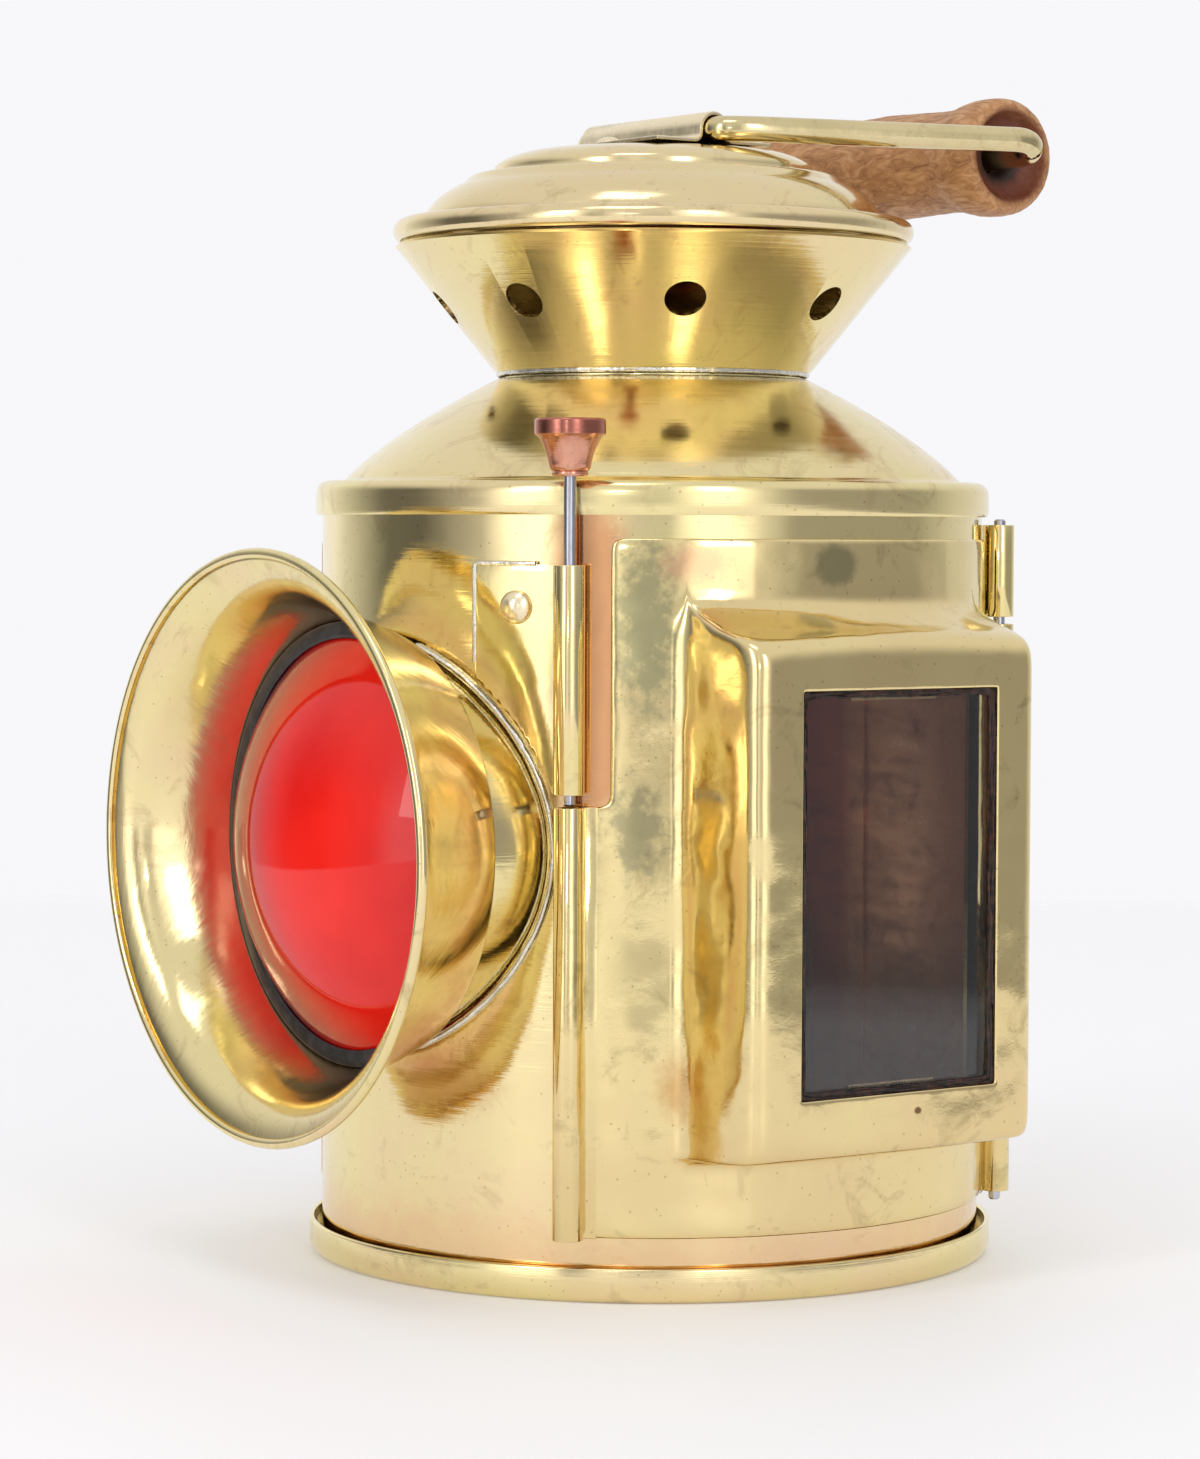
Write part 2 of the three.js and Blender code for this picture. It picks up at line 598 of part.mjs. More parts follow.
// The latch rod, and the turned knob that it is lifted by.
function latch() {
  const centre = round(KNUCKLE_RING, LATCH_AZIMUTH);
  const rod = post(ROD_RADIUS, ROD_BOTTOM, KNOB_BOTTOM + 4, 12);
  add("latch_rod", rod.translate(centre.x, centre.y, 0), steel);
  const bore = ROD_RADIUS + GAP;
  const top = KNOB_BOTTOM + KNOB_HEIGHT;
  const path = new THREE.Path();
  path.moveTo(bore, KNOB_BOTTOM);
  path.lineTo(3.6, KNOB_BOTTOM);
  path.lineTo(4.3, KNOB_BOTTOM + 2.4);
  path.quadraticCurveTo(4.8, KNOB_BOTTOM + 5.8, 6.8, KNOB_BOTTOM + 8);
  path.lineTo(7.05, KNOB_BOTTOM + 8.8);
  path.lineTo(7.05, top - 0.6);
  path.lineTo(6.5, top);
  path.lineTo(0, top);
  path.lineTo(0, KNOB_BOTTOM + 4.4);
  path.lineTo(bore, KNOB_BOTTOM + 4.4);
  add("latch_knob", turned(path.getPoints(4), 24).translate(centre.x, centre.y, 0), copper);
}

// ---------------------------------------------------------------- strap, bail and grip

// A saddle strap: two flat feet and a hump over the straight back of the bail.
function handleStrap() {
  const foot = CAP_TOP_Z + GAP;
  const tunnel = WIRE_RADIUS + 0.3;
  const hump = tunnel + STRAP_SHEET;
  const shape = new THREE.Shape();
  shape.moveTo(-STRAP_FOOT, foot);
  shape.lineTo(-tunnel, foot);
  shape.lineTo(-tunnel, PIVOT_Z);
  shape.absarc(0, PIVOT_Z, tunnel, Math.PI, 0, true);
  shape.lineTo(tunnel, foot);
  shape.lineTo(STRAP_FOOT, foot);
  shape.lineTo(STRAP_FOOT, foot + STRAP_SHEET);
  shape.lineTo(hump, foot + STRAP_SHEET);
  shape.lineTo(hump, PIVOT_Z);
  shape.absarc(0, PIVOT_Z, hump, 0, Math.PI, false);
  shape.lineTo(-hump, foot + STRAP_SHEET);
  shape.lineTo(-STRAP_FOOT, foot + STRAP_SHEET);
  const options = { depth: 2 * STRAP_HALF, bevelEnabled: false, curveSegments: 8 };
  const bar = new THREE.ExtrudeGeometry(shape, options).translate(0, 0, -STRAP_HALF);
  const laid = bar.rotateX(Math.PI / 2).rotateZ(Math.PI / 2);
  const holes = STRAP_RIVETS.map(([x, y]) => post(2.1, 220, 250).translate(x, y, 0));
  add("handle_strap", cut(laid, ...holes), brass);
  STRAP_RIVETS.forEach(([x, y], i) => {
    const grip = SHEET + STRAP_SHEET + 4 * GAP;
    const head = rivet(3, 1.6, grip).translate(x, y, foot + STRAP_SHEET + GAP);
    add(["strap_rivet_front", "strap_rivet_back"][i], head, brass);
  });
}

// A path of straight runs between corners, each corner rounded by a curve that starts "ease" before it.
function roundedPath(corners, ease) {
  const path = new THREE.CurvePath();
  let from = corners[0];
  for (let i = 1; i < corners.length - 1; i++) {
    const before = corners[i].clone().lerp(corners[i - 1], ease / corners[i].distanceTo(corners[i - 1]));
    const after = corners[i].clone().lerp(corners[i + 1], ease / corners[i].distanceTo(corners[i + 1]));
    path.add(new THREE.LineCurve3(from, before));
    path.add(new THREE.QuadraticBezierCurve3(before, corners[i], after));
    from = after;
  }
  path.add(new THREE.LineCurve3(from, corners.at(-1)));
  return path;
}

// One wire, from the middle of the grip round through the strap and back into the grip.
function bailWire() {
  const half = [
    [1, GRIP_Y, GRIP_Z],
    [BAIL_HALF - 3.7, GRIP_Y, GRIP_Z],
    [BAIL_HALF + 0.9, GRIP_Y - 4.5, PIVOT_Z - 0.6],
    [STRAP_HALF + 4.4, 0, PIVOT_Z],
  ];
  const mirrored = half.map(([x, y, z]) => [-x, y, z]).reverse();
  const corners = [...half, ...mirrored].map((corner) => new THREE.Vector3(...corner));
  const section = new THREE.Shape();
  section.absarc(0, 0, WIRE_RADIUS, 0, 2 * Math.PI, false);
  const options = { steps: 112, curveSegments: 4, extrudePath: roundedPath(corners, 3) };
  add("bail_wire", new THREE.ExtrudeGeometry(section, options), brassWire);
}

// A turned grip: a slightly crowned barrel between two rounded end swells, bored for the wire.
function woodenGrip() {
  const half = new THREE.Path();
  half.moveTo(WIRE_RADIUS + 0.3, GRIP_HALF - 4);
  half.lineTo(5.5, GRIP_HALF);
  half.quadraticCurveTo(12.6, GRIP_HALF, 12.7, GRIP_HALF - 6);
  half.quadraticCurveTo(12.6, GRIP_HALF - 11, 11, GRIP_HALF - 15);
  half.quadraticCurveTo(11.6, GRIP_HALF / 2, 11.6, 0);
  const near = half.getPoints(3);
  const far = near.slice(0, -1).map((point) => new THREE.Vector2(point.x, -point.y)).reverse();
  const grip = turned([...near, ...far], 16).rotateY(Math.PI / 2);
  add("wooden_grip", grip.translate(0, GRIP_Y, GRIP_Z), wood);
}

// ---------------------------------------------------------------- candle

// A spun tray stands on the floor of the pan. Its rim keeps the jar in the middle.
function candleTray() {
  const tray = new THREE.Path();
  tray.moveTo(TRAY_RADIUS + TRAY_FLARE, PAN_SHEET + GAP);
  tray.lineTo(TRAY_RADIUS, TRAY_TOP + TRAY_RIM);
  tray.lineTo(TRAY_RADIUS - SHEET, TRAY_TOP + TRAY_RIM);
  tray.lineTo(TRAY_RADIUS - SHEET - 0.4, TRAY_TOP);
  tray.lineTo(0, TRAY_TOP);
  tray.lineTo(0, TRAY_TOP - SHEET);
  tray.lineTo(TRAY_RADIUS - SHEET, TRAY_TOP - SHEET);
  tray.lineTo(TRAY_RADIUS + TRAY_FLARE - SHEET, PAN_SHEET + GAP);
  add("candle_tray", turned(tray.getPoints()), brass);
}

// A plain glass jar with a thick foot, holding a short candle.
function candleJar() {
  const foot = TRAY_TOP + GAP;
  const jar = new THREE.Path();
  jar.moveTo(0, foot);
  jar.lineTo(JAR_RADIUS - 1.5, foot);
  jar.lineTo(JAR_RADIUS, foot + 2);
  jar.lineTo(JAR_RADIUS, JAR_TOP - 0.8);
  jar.lineTo(JAR_RADIUS - JAR_WALL / 2, JAR_TOP);
  jar.lineTo(JAR_RADIUS - JAR_WALL, JAR_TOP - 0.8);
  jar.lineTo(JAR_RADIUS - JAR_WALL, foot + JAR_FOOT);
  jar.lineTo(0, foot + JAR_FOOT);
  add("candle_jar", turned(jar.getPoints()), clearGlass);
}

// The candle is part-burnt, with a hollow round its wick.
function candle() {
  const bottom = TRAY_TOP + 2 * GAP + JAR_FOOT;
  const path = new THREE.Path();
  path.moveTo(0, bottom);
  path.lineTo(CANDLE_RADIUS, bottom);
  path.lineTo(CANDLE_RADIUS, CANDLE_TOP - 2);
  path.quadraticCurveTo(CANDLE_RADIUS, CANDLE_TOP, CANDLE_RADIUS - 3, CANDLE_TOP);
  path.quadraticCurveTo(CANDLE_RADIUS - 8, CANDLE_TOP - 4, 1.3, CANDLE_TOP - 4.6);
  path.lineTo(1.3, CANDLE_TOP - 9);
  path.lineTo(0, CANDLE_TOP - 9);
  add("candle", turned(path.getPoints(3), 32), wax);
  add("wick", post(1, CANDLE_TOP - 8.7, CANDLE_TOP + 6, 8), cotton);
}

basePan();
bodyShell();
shoulder();
neckSolder();
ventCone();
topCap();
lensCollar();
collarSolder();
lensHood();
redLens();
lensGasket();
doorPanel();
fixedPanel();
glazing("door", 0);
glazing("fixed", Math.PI);
tabs();
hingePin();
latch();
handleStrap();
bailWire();
woodenGrip();
candleTray();
candleJar();
candle();

export default group;
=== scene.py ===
# A brass railway hand lantern for a candle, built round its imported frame.
# Metres, +Z up: the red lens looks along -Y and the glazed door is on the +X side.
import math

import bpy
from mathutils import Matrix, Vector


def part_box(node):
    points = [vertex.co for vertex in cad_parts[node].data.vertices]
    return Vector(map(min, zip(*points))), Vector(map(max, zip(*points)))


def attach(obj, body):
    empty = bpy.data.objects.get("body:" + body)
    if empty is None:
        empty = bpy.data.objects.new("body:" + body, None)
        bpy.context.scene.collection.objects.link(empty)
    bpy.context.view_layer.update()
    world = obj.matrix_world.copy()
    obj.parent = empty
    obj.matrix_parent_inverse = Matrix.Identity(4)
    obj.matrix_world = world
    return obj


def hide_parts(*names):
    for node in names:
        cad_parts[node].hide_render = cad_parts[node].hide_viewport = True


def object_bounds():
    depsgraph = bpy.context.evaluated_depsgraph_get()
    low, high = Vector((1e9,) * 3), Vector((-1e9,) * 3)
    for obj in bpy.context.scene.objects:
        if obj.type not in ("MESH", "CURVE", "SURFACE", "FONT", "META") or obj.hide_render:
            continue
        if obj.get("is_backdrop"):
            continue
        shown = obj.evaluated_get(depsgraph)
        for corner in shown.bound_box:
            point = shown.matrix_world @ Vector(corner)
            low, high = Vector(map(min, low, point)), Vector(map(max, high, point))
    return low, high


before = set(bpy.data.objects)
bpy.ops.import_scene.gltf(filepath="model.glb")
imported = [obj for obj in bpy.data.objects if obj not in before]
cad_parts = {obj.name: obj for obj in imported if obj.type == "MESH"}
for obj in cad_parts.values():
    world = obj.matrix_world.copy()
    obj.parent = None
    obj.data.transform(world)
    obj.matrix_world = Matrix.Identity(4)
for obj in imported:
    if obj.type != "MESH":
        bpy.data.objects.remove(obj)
cad_box = [list(corner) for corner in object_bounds()]

# ------------------------------------------------------------------ camera
# A long lens at the height of the red lens looks past the hood to the door's window.
camera_data = bpy.data.cameras.new("camera")
camera_data.sensor_width = 36
camera_data.lens = 103.4
camera_data.clip_end = 100
camera = bpy.data.objects.new("camera", camera_data)
bpy.context.scene.collection.objects.link(camera)
camera.location = (0.71489, -0.53720, 0.15257)
azimuth, pitch, yaw, roll = (math.radians(angle) for angle in (53.077, -2.696, -0.699, 0.224))
turn = Matrix.Rotation(azimuth - yaw, 4, "Z") @ Matrix.Rotation(math.pi / 2 + pitch, 4, "X")
camera.rotation_euler = (turn @ Matrix.Rotation(roll, 4, "Z")).to_euler()
bpy.context.scene.camera = camera

# ------------------------------------------------------------------ studio
# A white table that fades into a white wall, in a bright room with darker corners for the brass to mirror.
TABLE_TURN, TABLE_HALF = math.radians(53), (0.62, 0.88, 1)
WALL_WHITE = (0.935, 0.935, 0.96)
CEILING = (0.84, 0.84, 0.85)
# the walls' brightness, by azimuth in degrees from the lens side towards the door side
WALLS = [(-180, 0.70), (-150, 0.85), (-92, 1.00), (-67, 0.50), (-50, 0.16), (-32, 0.14), (-20, 0.36),
         (-6, 0.60), (5, 1.7), (17, 1.8), (26, 0.36), (38, 1.15), (48, 0.72), (59, 0.68), (70, 1.6), (80, 1.6),
         (91, 0.80), (102, 0.40), (115, 0.38), (155, 0.38), (172, 0.60), (180, 0.70)]


def new_material(name, values):
    """A material whose shader takes some values, with that shader and the function that links sockets."""
    material = bpy.data.materials.new(name)
    material.use_nodes = True
    shader = material.node_tree.nodes["Principled BSDF"]
    for socket, value in values.items():
        shader.inputs[socket].default_value = value
    return material, shader, material.node_tree.links.new


def node(owner, kind, **values):
    """A node of a material or a world. Each value goes to the input or the setting of that name."""
    made = owner.node_tree.nodes.new(kind)
    for name, value in values.items():
        if name in made.inputs:
            made.inputs[name].default_value = value
        else:
            setattr(made, name, value)
    return made


def math_node(owner, operation, *values):
    """A sum of sockets and plain numbers."""
    made = node(owner, "ShaderNodeMath", operation=operation)
    for socket, value in zip(made.inputs, values):
        if isinstance(value, (int, float)):
            socket.default_value = value
        else:
            owner.node_tree.links.new(value, socket)
    return made.outputs["Value"]


def span(owner, source, low, high, to_low=0.0, to_high=1.0, **values):
    """Carries a value's range from low to high over to another range."""
    ends = {"From Min": low, "From Max": high, "To Min": to_low, "To Max": to_high}
    made = node(owner, "ShaderNodeMapRange", **values, **ends)
    owner.node_tree.links.new(source, made.inputs["Value"])
    return made.outputs["Result"]


def ramp(owner, source, *stops):
    """Colours along a value."""
    made = node(owner, "ShaderNodeValToRGB")
    for i, (position, color) in enumerate(stops):
        stop = made.color_ramp.elements[i] if i < 2 else made.color_ramp.elements.new(position)
        stop.position = position
        stop.color = (*color, 1)
    owner.node_tree.links.new(source, made.inputs["Fac"])
    return made.outputs["Color"]


def mix(owner, factor, first, second):
    """One colour over another. Each colour is a socket or three numbers."""
    made = node(owner, "ShaderNodeMix", data_type="RGBA")
    owner.node_tree.links.new(factor, made.inputs["Factor"])
    for socket, color in (("A", first), ("B", second)):
        if isinstance(color, tuple):
            made.inputs[socket].default_value = (*color, 1)
        else:
            owner.node_tree.links.new(color, made.inputs[socket])
    return made.outputs["Result"]


bpy.ops.mesh.primitive_plane_add(size=2, rotation=(0, 0, TABLE_TURN))
floor = bpy.context.object
floor.scale = TABLE_HALF
floor.name = "table"
paint, shader, link = new_material("table_white", {
    "Base Color": (0.87, 0.865, 0.88, 1), "Roughness": 0.6, "Emission Color": (1, 0.99, 1, 1),
    "Emission Strength": 0.15})
square = node(paint, "ShaderNodeVectorMath", operation="ABSOLUTE")
link(node(paint, "ShaderNodeTexCoord").outputs["Object"], square.inputs[0])
axes = node(paint, "ShaderNodeSeparateXYZ")
link(square.outputs["Vector"], axes.inputs["Vector"])
edge = math_node(paint, "MAXIMUM", axes.outputs["X"], axes.outputs["Y"])
link(span(paint, edge, 1.0, 0.88, interpolation_type="SMOOTHSTEP"), shader.inputs["Alpha"])
floor.data.materials.append(paint)
floor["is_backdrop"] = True


def softbox(name, azimuth, elevation, size, brightness):
    """A square lamp that faces the lantern from a direction."""
    light = bpy.data.lights.new(name, "AREA")
    light.shape = "RECTANGLE"
    light.size, light.size_y = size
    light.energy = brightness * math.pi * size[0] * size[1]
    lamp = bpy.data.objects.new(name, light)
    bpy.context.scene.collection.objects.link(lamp)
    angle, rise = math.radians(azimuth), math.radians(elevation)
    away = Vector((math.sin(angle) * math.cos(rise), -math.cos(angle) * math.cos(rise), math.sin(rise)))
    lamp.location = away * 1.6 + Vector((0, 0, 0.12))
    lamp.rotation_euler = away.to_track_quat("Z", "Y").to_euler()


softbox("front_window", 11, 24, (0.26, 0.9), 2.6)
softbox("side_window", 75, 26, (0.30, 0.9), 2.4)
softbox("ceiling_lamp", 30, 66, (0.5, 0.5), 2.0)
softbox("hand_lamp", 42, 9, (0.13, 0.13), 7.0)

world = bpy.data.worlds.new("studio")
bpy.context.scene.world = world
world.use_nodes = True
world.node_tree.nodes.clear()
link = world.node_tree.links.new
split = node(world, "ShaderNodeSeparateXYZ")
link(node(world, "ShaderNodeTexCoord").outputs["Generated"], split.inputs["Vector"])
compass = math_node(world, "ARCTAN2", split.outputs["X"],
                    math_node(world, "MULTIPLY", split.outputs["Y"], -1))
walls = ramp(world, span(world, compass, -math.pi, math.pi),
             *[(azimuth / 360 + 0.5, (level, level, level * 1.01)) for azimuth, level in WALLS])
height = span(world, split.outputs["Z"], 0.12, 0.75, interpolation_type="SMOOTHSTEP")
lit = node(world, "ShaderNodeBackground")
link(mix(world, height, walls, CEILING), lit.inputs["Color"])
seen = node(world, "ShaderNodeBackground", Color=(*WALL_WHITE, 1))
either = node(world, "ShaderNodeMixShader")
link(node(world, "ShaderNodeLightPath").outputs["Is Camera Ray"], either.inputs["Fac"])
link(lit.outputs["Background"], either.inputs[1])
link(seen.outputs["Background"], either.inputs[2])
link(either.outputs["Shader"], node(world, "ShaderNodeOutputWorld").inputs["Surface"])
bpy.context.scene.view_settings.view_transform = "Standard"
bpy.context.scene.view_settings.look = "None"

# ------------------------------------------------------------------ base pan
# The pan is a shallow spun dish of brass sheet, and the body is dropped in and soldered to its floor.
# It is polished by hand, so its finish is fine turned lines, smears and a copper-pink tarnish.
SHEET, PAN_SHEET, DOME_SHEET, STRIP = 0.001, 0.0011, 0.0009, 0.0008
LENS_HEIGHT = 0.0891


def noise(owner, place, scale, detail, **values):
    """An uneven value over a place."""
    made = node(owner, "ShaderNodeTexNoise", Scale=scale, Detail=detail, **values)
    owner.node_tree.links.new(place, made.inputs["Vector"])
    return made.outputs["Fac"]


def bump(owner, height, strength, distance, below=None):
    """Relief from a value, on top of the relief below it."""
    made = node(owner, "ShaderNodeBump", Strength=strength, Distance=distance)
    owner.node_tree.links.new(height, made.inputs["Height"])
    if below:
        owner.node_tree.links.new(below, made.inputs["Normal"])
    return made.outputs["Normal"]


def grey(level):
    return (level, level, level)


def metal(name, bright, tint, tarnish, lines, shine, wear=0.55, dents=0.12, spread=26, stains=0.5):
    """Polished metal: lines gives the fine scratches' density along X, Y and Z, and shine its roughness."""
    material, shader, link = new_material(name, {"Metallic": 1})
    place = node(material, "ShaderNodeTexCoord").outputs["Object"]
    blotch = noise(material, place, spread, 5, Roughness=0.6, Distortion=0.6)
    smear = noise(material, place, spread * 3.1, 8, Roughness=0.68, Distortion=1.4)
    stretch = node(material, "ShaderNodeMapping", Scale=lines)
    link(place, stretch.inputs["Vector"])
    brush = noise(material, stretch.outputs["Vector"], 1, 4, Roughness=0.6)
    speck = node(material, "ShaderNodeTexVoronoi", Scale=spread * 19)
    link(place, speck.inputs["Vector"])

    hue = mix(material, ramp(material, blotch, (0.42, grey(0)), (0.66, grey(wear))), bright, tint)
    stain = mix(material, ramp(material, smear, (0.56, grey(0)), (0.78, grey(stains))), hue, tarnish)
    spots = ramp(material, speck.outputs["Distance"], (0.05, grey(0.5)), (0.12, grey(0)))
    link(mix(material, spots, stain, tarnish), shader.inputs["Base Color"])

    blur = node(material, "ShaderNodeMix")
    blur.inputs["Factor"].default_value = 0.45
    link(smear, blur.inputs["A"])
    link(brush, blur.inputs["B"])
    link(span(material, blur.outputs["Result"], 0.3, 0.72, shine * 0.4, shine * 1.8),
         shader.inputs["Roughness"])

    beaten = bump(material, noise(material, place, spread * 0.9, 1.5), dents, 0.004)
    hammered = bump(material, noise(material, place, spread * 4, 1), dents * 0.6, 0.0012, beaten)
    link(bump(material, brush, 0.12, 0.0003, hammered), shader.inputs["Normal"])
    return material


def patch(material, color, centre, size, amount=0.6, soft=0.5, ragged=0.5):
    """One local mark, used for stains and for painted light and shade: an uneven oval round a point. size
    gives its half widths.
    """
    link = material.node_tree.links.new
    shader = material.node_tree.nodes["Principled BSDF"]
    place = node(material, "ShaderNodeTexCoord").outputs["Object"]
    nearness = node(material, "ShaderNodeMapping", vector_type="TEXTURE", Location=centre, Scale=size)
    link(place, nearness.inputs["Vector"])
    away = node(material, "ShaderNodeVectorMath", operation="LENGTH")
    link(nearness.outputs["Vector"], away.inputs[0])
    fray = noise(material, place, 1.6 / min(size), 6, Roughness=0.65)
    distance = math_node(material, "MULTIPLY_ADD", fray, ragged * 2, away.outputs["Value"])
    mask = span(material, distance, 1 + ragged + soft, 1 + ragged - soft, 0, amount,
                interpolation_type="SMOOTHSTEP")
    below = shader.inputs["Base Color"].links[0].from_socket
    link(mix(material, mask, below, color), shader.inputs["Base Color"])


def on_round(azimuth, height, radius):
    """The point at an azimuth, with 0 at the lens and 90 at the door."""
    angle = math.radians(azimuth)
    return Vector((radius * math.sin(angle), -radius * math.cos(angle), height))


GOLD, PINK, BROWN = (0.865, 0.74, 0.375), (0.86, 0.645, 0.41), (0.36, 0.21, 0.08)
turned_brass = metal("turned_brass", GOLD, PINK, BROWN, (26, 26, 1500), 0.11)
inner_brass = metal("smoked_brass_painted_lens_light", (0.72, 0.36, 0.20), (0.58, 0.27, 0.17), (0.30, 0.13, 0.08),
                    (60, 60, 300), 0.42, stains=0.4)
# Painted red light from the lens: a maroon patch on the back of the inside.
patch(inner_brass, (0.50, 0.12, 0.10), on_round(205, 0.085, 0.069), (0.0165, 0.009, 0.1), 0.9, 0.12, 0.05)
soot = metal("soot", (0.022, 0.015, 0.010), (0.014, 0.009, 0.007), (0.006, 0.004, 0.003), (60, 60, 300), 0.6)
matt = soot.node_tree.nodes["Principled BSDF"]
matt.inputs["Metallic"].default_value = 0
matt.inputs["Specular IOR Level"].default_value = 0.1


def begin(name):
    """The new primitive gets its name, and edit mode with all of it selected."""
    piece = bpy.context.object
    piece.name = name
    piece.data.name = name
    bpy.ops.object.mode_set(mode="EDIT")
    bpy.ops.mesh.select_all(action="SELECT")
    return piece


def pick(piece):
    """Selects one piece and nothing else."""
    bpy.ops.object.select_all(action="DESELECT")
    bpy.context.view_layer.objects.active = piece
    piece.select_set(True)


def use(piece, kind, **values):
    """Adds a modifier and applies it."""
    pick(piece)
    made = piece.modifiers.new(kind.lower(), kind)
    for name, value in values.items():
        setattr(made, name, value)
    bpy.ops.object.modifier_apply(modifier=made.name)


def soften(piece, width, angle, segments=2):
    """Rounds the edges that are sharper than an angle in degrees."""
    use(piece, "BEVEL", width=width, segments=segments, limit_method="ANGLE", angle_limit=math.radians(angle))


def sheet_wall(piece, thickness, inner=False, offset=-1):
    """Gives an open skin its thickness inwards, and darker metal on its inner face."""
    use(piece, "SOLIDIFY", thickness=thickness, offset=offset, use_even_offset=True,
        material_offset=1 if inner else 0)


def arc(centre, radius, start, end, steps=8):
    """Points on a round corner, in degrees from +X towards +Y."""
    angles = [math.radians(start + (end - start) * i / steps) for i in range(steps + 1)]
    return [(centre[0] + radius * math.cos(a), centre[1] + radius * math.sin(a)) for a in angles]


def curve(start, pull, end, steps=10):
    """Points on a slow curve that leaves start towards pull and comes into end from it."""
    shares = [i / steps for i in range(steps + 1)]
    return [tuple(start[k] * (1 - t) ** 2 + 2 * pull[k] * t * (1 - t) + end[k] * t * t for k in (0, 1))
            for t in shares]


def drawn(name, points):
    """Extrudes a point along a line. It leaves the line in edit mode, with all of it selected."""
    bpy.ops.object.select_all(action="DESELECT")
    bpy.ops.mesh.primitive_plane_add(size=0.001, location=points[0])
    bpy.ops.object.transform_apply(location=True, rotation=False, scale=False)
    piece = begin(name)
    bpy.ops.mesh.merge(type="CENTER")
    for before, after in zip(points, points[1:]):
        bpy.ops.mesh.extrude_vertices_move(TRANSFORM_OT_translate={"value": after - before})
    bpy.ops.mesh.select_all(action="SELECT")
    return piece


def spun(name, outline, steps=160, about="Z", at=(0, 0, 0)):
    """Spins a line of (radius, distance) points about an axis through a point."""
    out, along = {"Z": ((1, 0, 0), (0, 0, 1)), "Y": ((1, 0, 0), (0, -1, 0)),
                  "X": ((0, 0, 1), (1, 0, 0))}[about]
    piece = drawn(name, [Vector(at) + Vector(out) * r + Vector(along) * d for r, d in outline])
    bpy.ops.mesh.spin(steps=steps, angle=2 * math.pi, center=at, axis=along)
    bpy.ops.mesh.select_all(action="SELECT")
    bpy.ops.mesh.remove_doubles(threshold=0.000002)
    bpy.ops.mesh.normals_make_consistent(inside=False)
    bpy.ops.object.mode_set(mode="OBJECT")
    return piece


def settle(piece, material, body, slot, *nodes, smooth=35, second=None):
    """Finish: materials, smooth faces, the body it rides on and what it stands for. Its slot is not used."""
    piece.data.materials.append(material)
    if second:
        piece.data.materials.append(second)
    pick(piece)
    bpy.ops.object.transform_apply(location=True, rotation=True, scale=True)
    bpy.ops.object.shade_smooth_by_angle(angle=math.radians(smooth))
    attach(piece, body)
    if nodes:
        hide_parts(*nodes)


pan_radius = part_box("base_pan")[1].x
pan_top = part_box("base_pan")[1].z
CORNER = 0.0024
outline = [(0, 0)] + arc((pan_radius - CORNER, CORNER), CORNER, -90, 0) + [(pan_radius, pan_top)]
base_pan = spun("pan", outline)
sheet_wall(base_pan, PAN_SHEET)
soften(base_pan, 0.0004, 50, 3)
settle(base_pan, turned_brass, "lantern", "brass", "base_pan")

# ------------------------------------------------------------------ body tube
# One sheet is rolled into a tube, with holes for the lens, the door and the fixed window. Its seam
# laps at the back and is soldered. The inside was never polished and is dark with smoke.
body_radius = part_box("body_shell")[1].x
body_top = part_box("body_shell")[1].z
body_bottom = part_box("body_shell")[0].z
rolled_brass = metal("rolled_brass", GOLD, PINK, BROWN, (34, 34, 900), 0.085, dents=0.2, spread=22)
for color, centre, size, amount, soft, ragged in [
        # painted shadow and reddish reflection of the latch rod on the body beside it
        ((0.66, 0.31, 0.15), on_round(43, 0.126, body_radius), (0.009, 0.009, 0.036), 0.9, 0.3, 0.2),
        ((0.84, 0.52, 0.31), (0, 0, 0.006), (0.3, 0.3, 0.0085), 0.6, 0.8, 0.9),
        ((0.55, 0.27, 0.12), on_round(16, 0.042, body_radius), (0.012, 0.01, 0.006), 0.6, 0.6, 0.6)]:
    patch(rolled_brass, color, centre, size, amount, soft, ragged)


def cutter(kind, location, size, turn_x=0):
    """A block or a round bar to cut a hole with."""
    bpy.ops.object.select_all(action="DESELECT")
    if kind == "block":
        bpy.ops.mesh.primitive_cube_add(size=1, location=location)
    else:
        bpy.ops.mesh.primitive_cylinder_add(vertices=96, radius=0.5, depth=1, location=location,
                                            rotation=(turn_x, 0, 0))
    tool = bpy.context.object
    tool.scale = size
    bpy.ops.object.transform_apply(location=True, rotation=True, scale=True)
    return tool


def cut(piece, tool):
    """Cuts the tool's shape out of the piece and throws the tool away."""
    use(piece, "BOOLEAN", operation="DIFFERENCE", object=tool, solver="EXACT")
    bpy.data.objects.remove(tool)


body = spun("body", [(body_radius, body_bottom), (body_radius, body_top)], steps=224)
body.data.materials.append(rolled_brass)
body.data.materials.append(inner_brass)
sheet_wall(body, SHEET, inner=True)
cut(body, cutter("bar", (0, -body_radius, LENS_HEIGHT), (0.0772, 0.0772, 0.04), math.pi / 2))
cut(body, cutter("block", (0.065, 0, 0.081), (0.03, 0.0728, 0.110)))
cut(body, cutter("block", (-0.065, 0, 0.081), (0.03, 0.060, 0.090)))
settle(body, rolled_brass, "lantern", "brass", "body_shell")

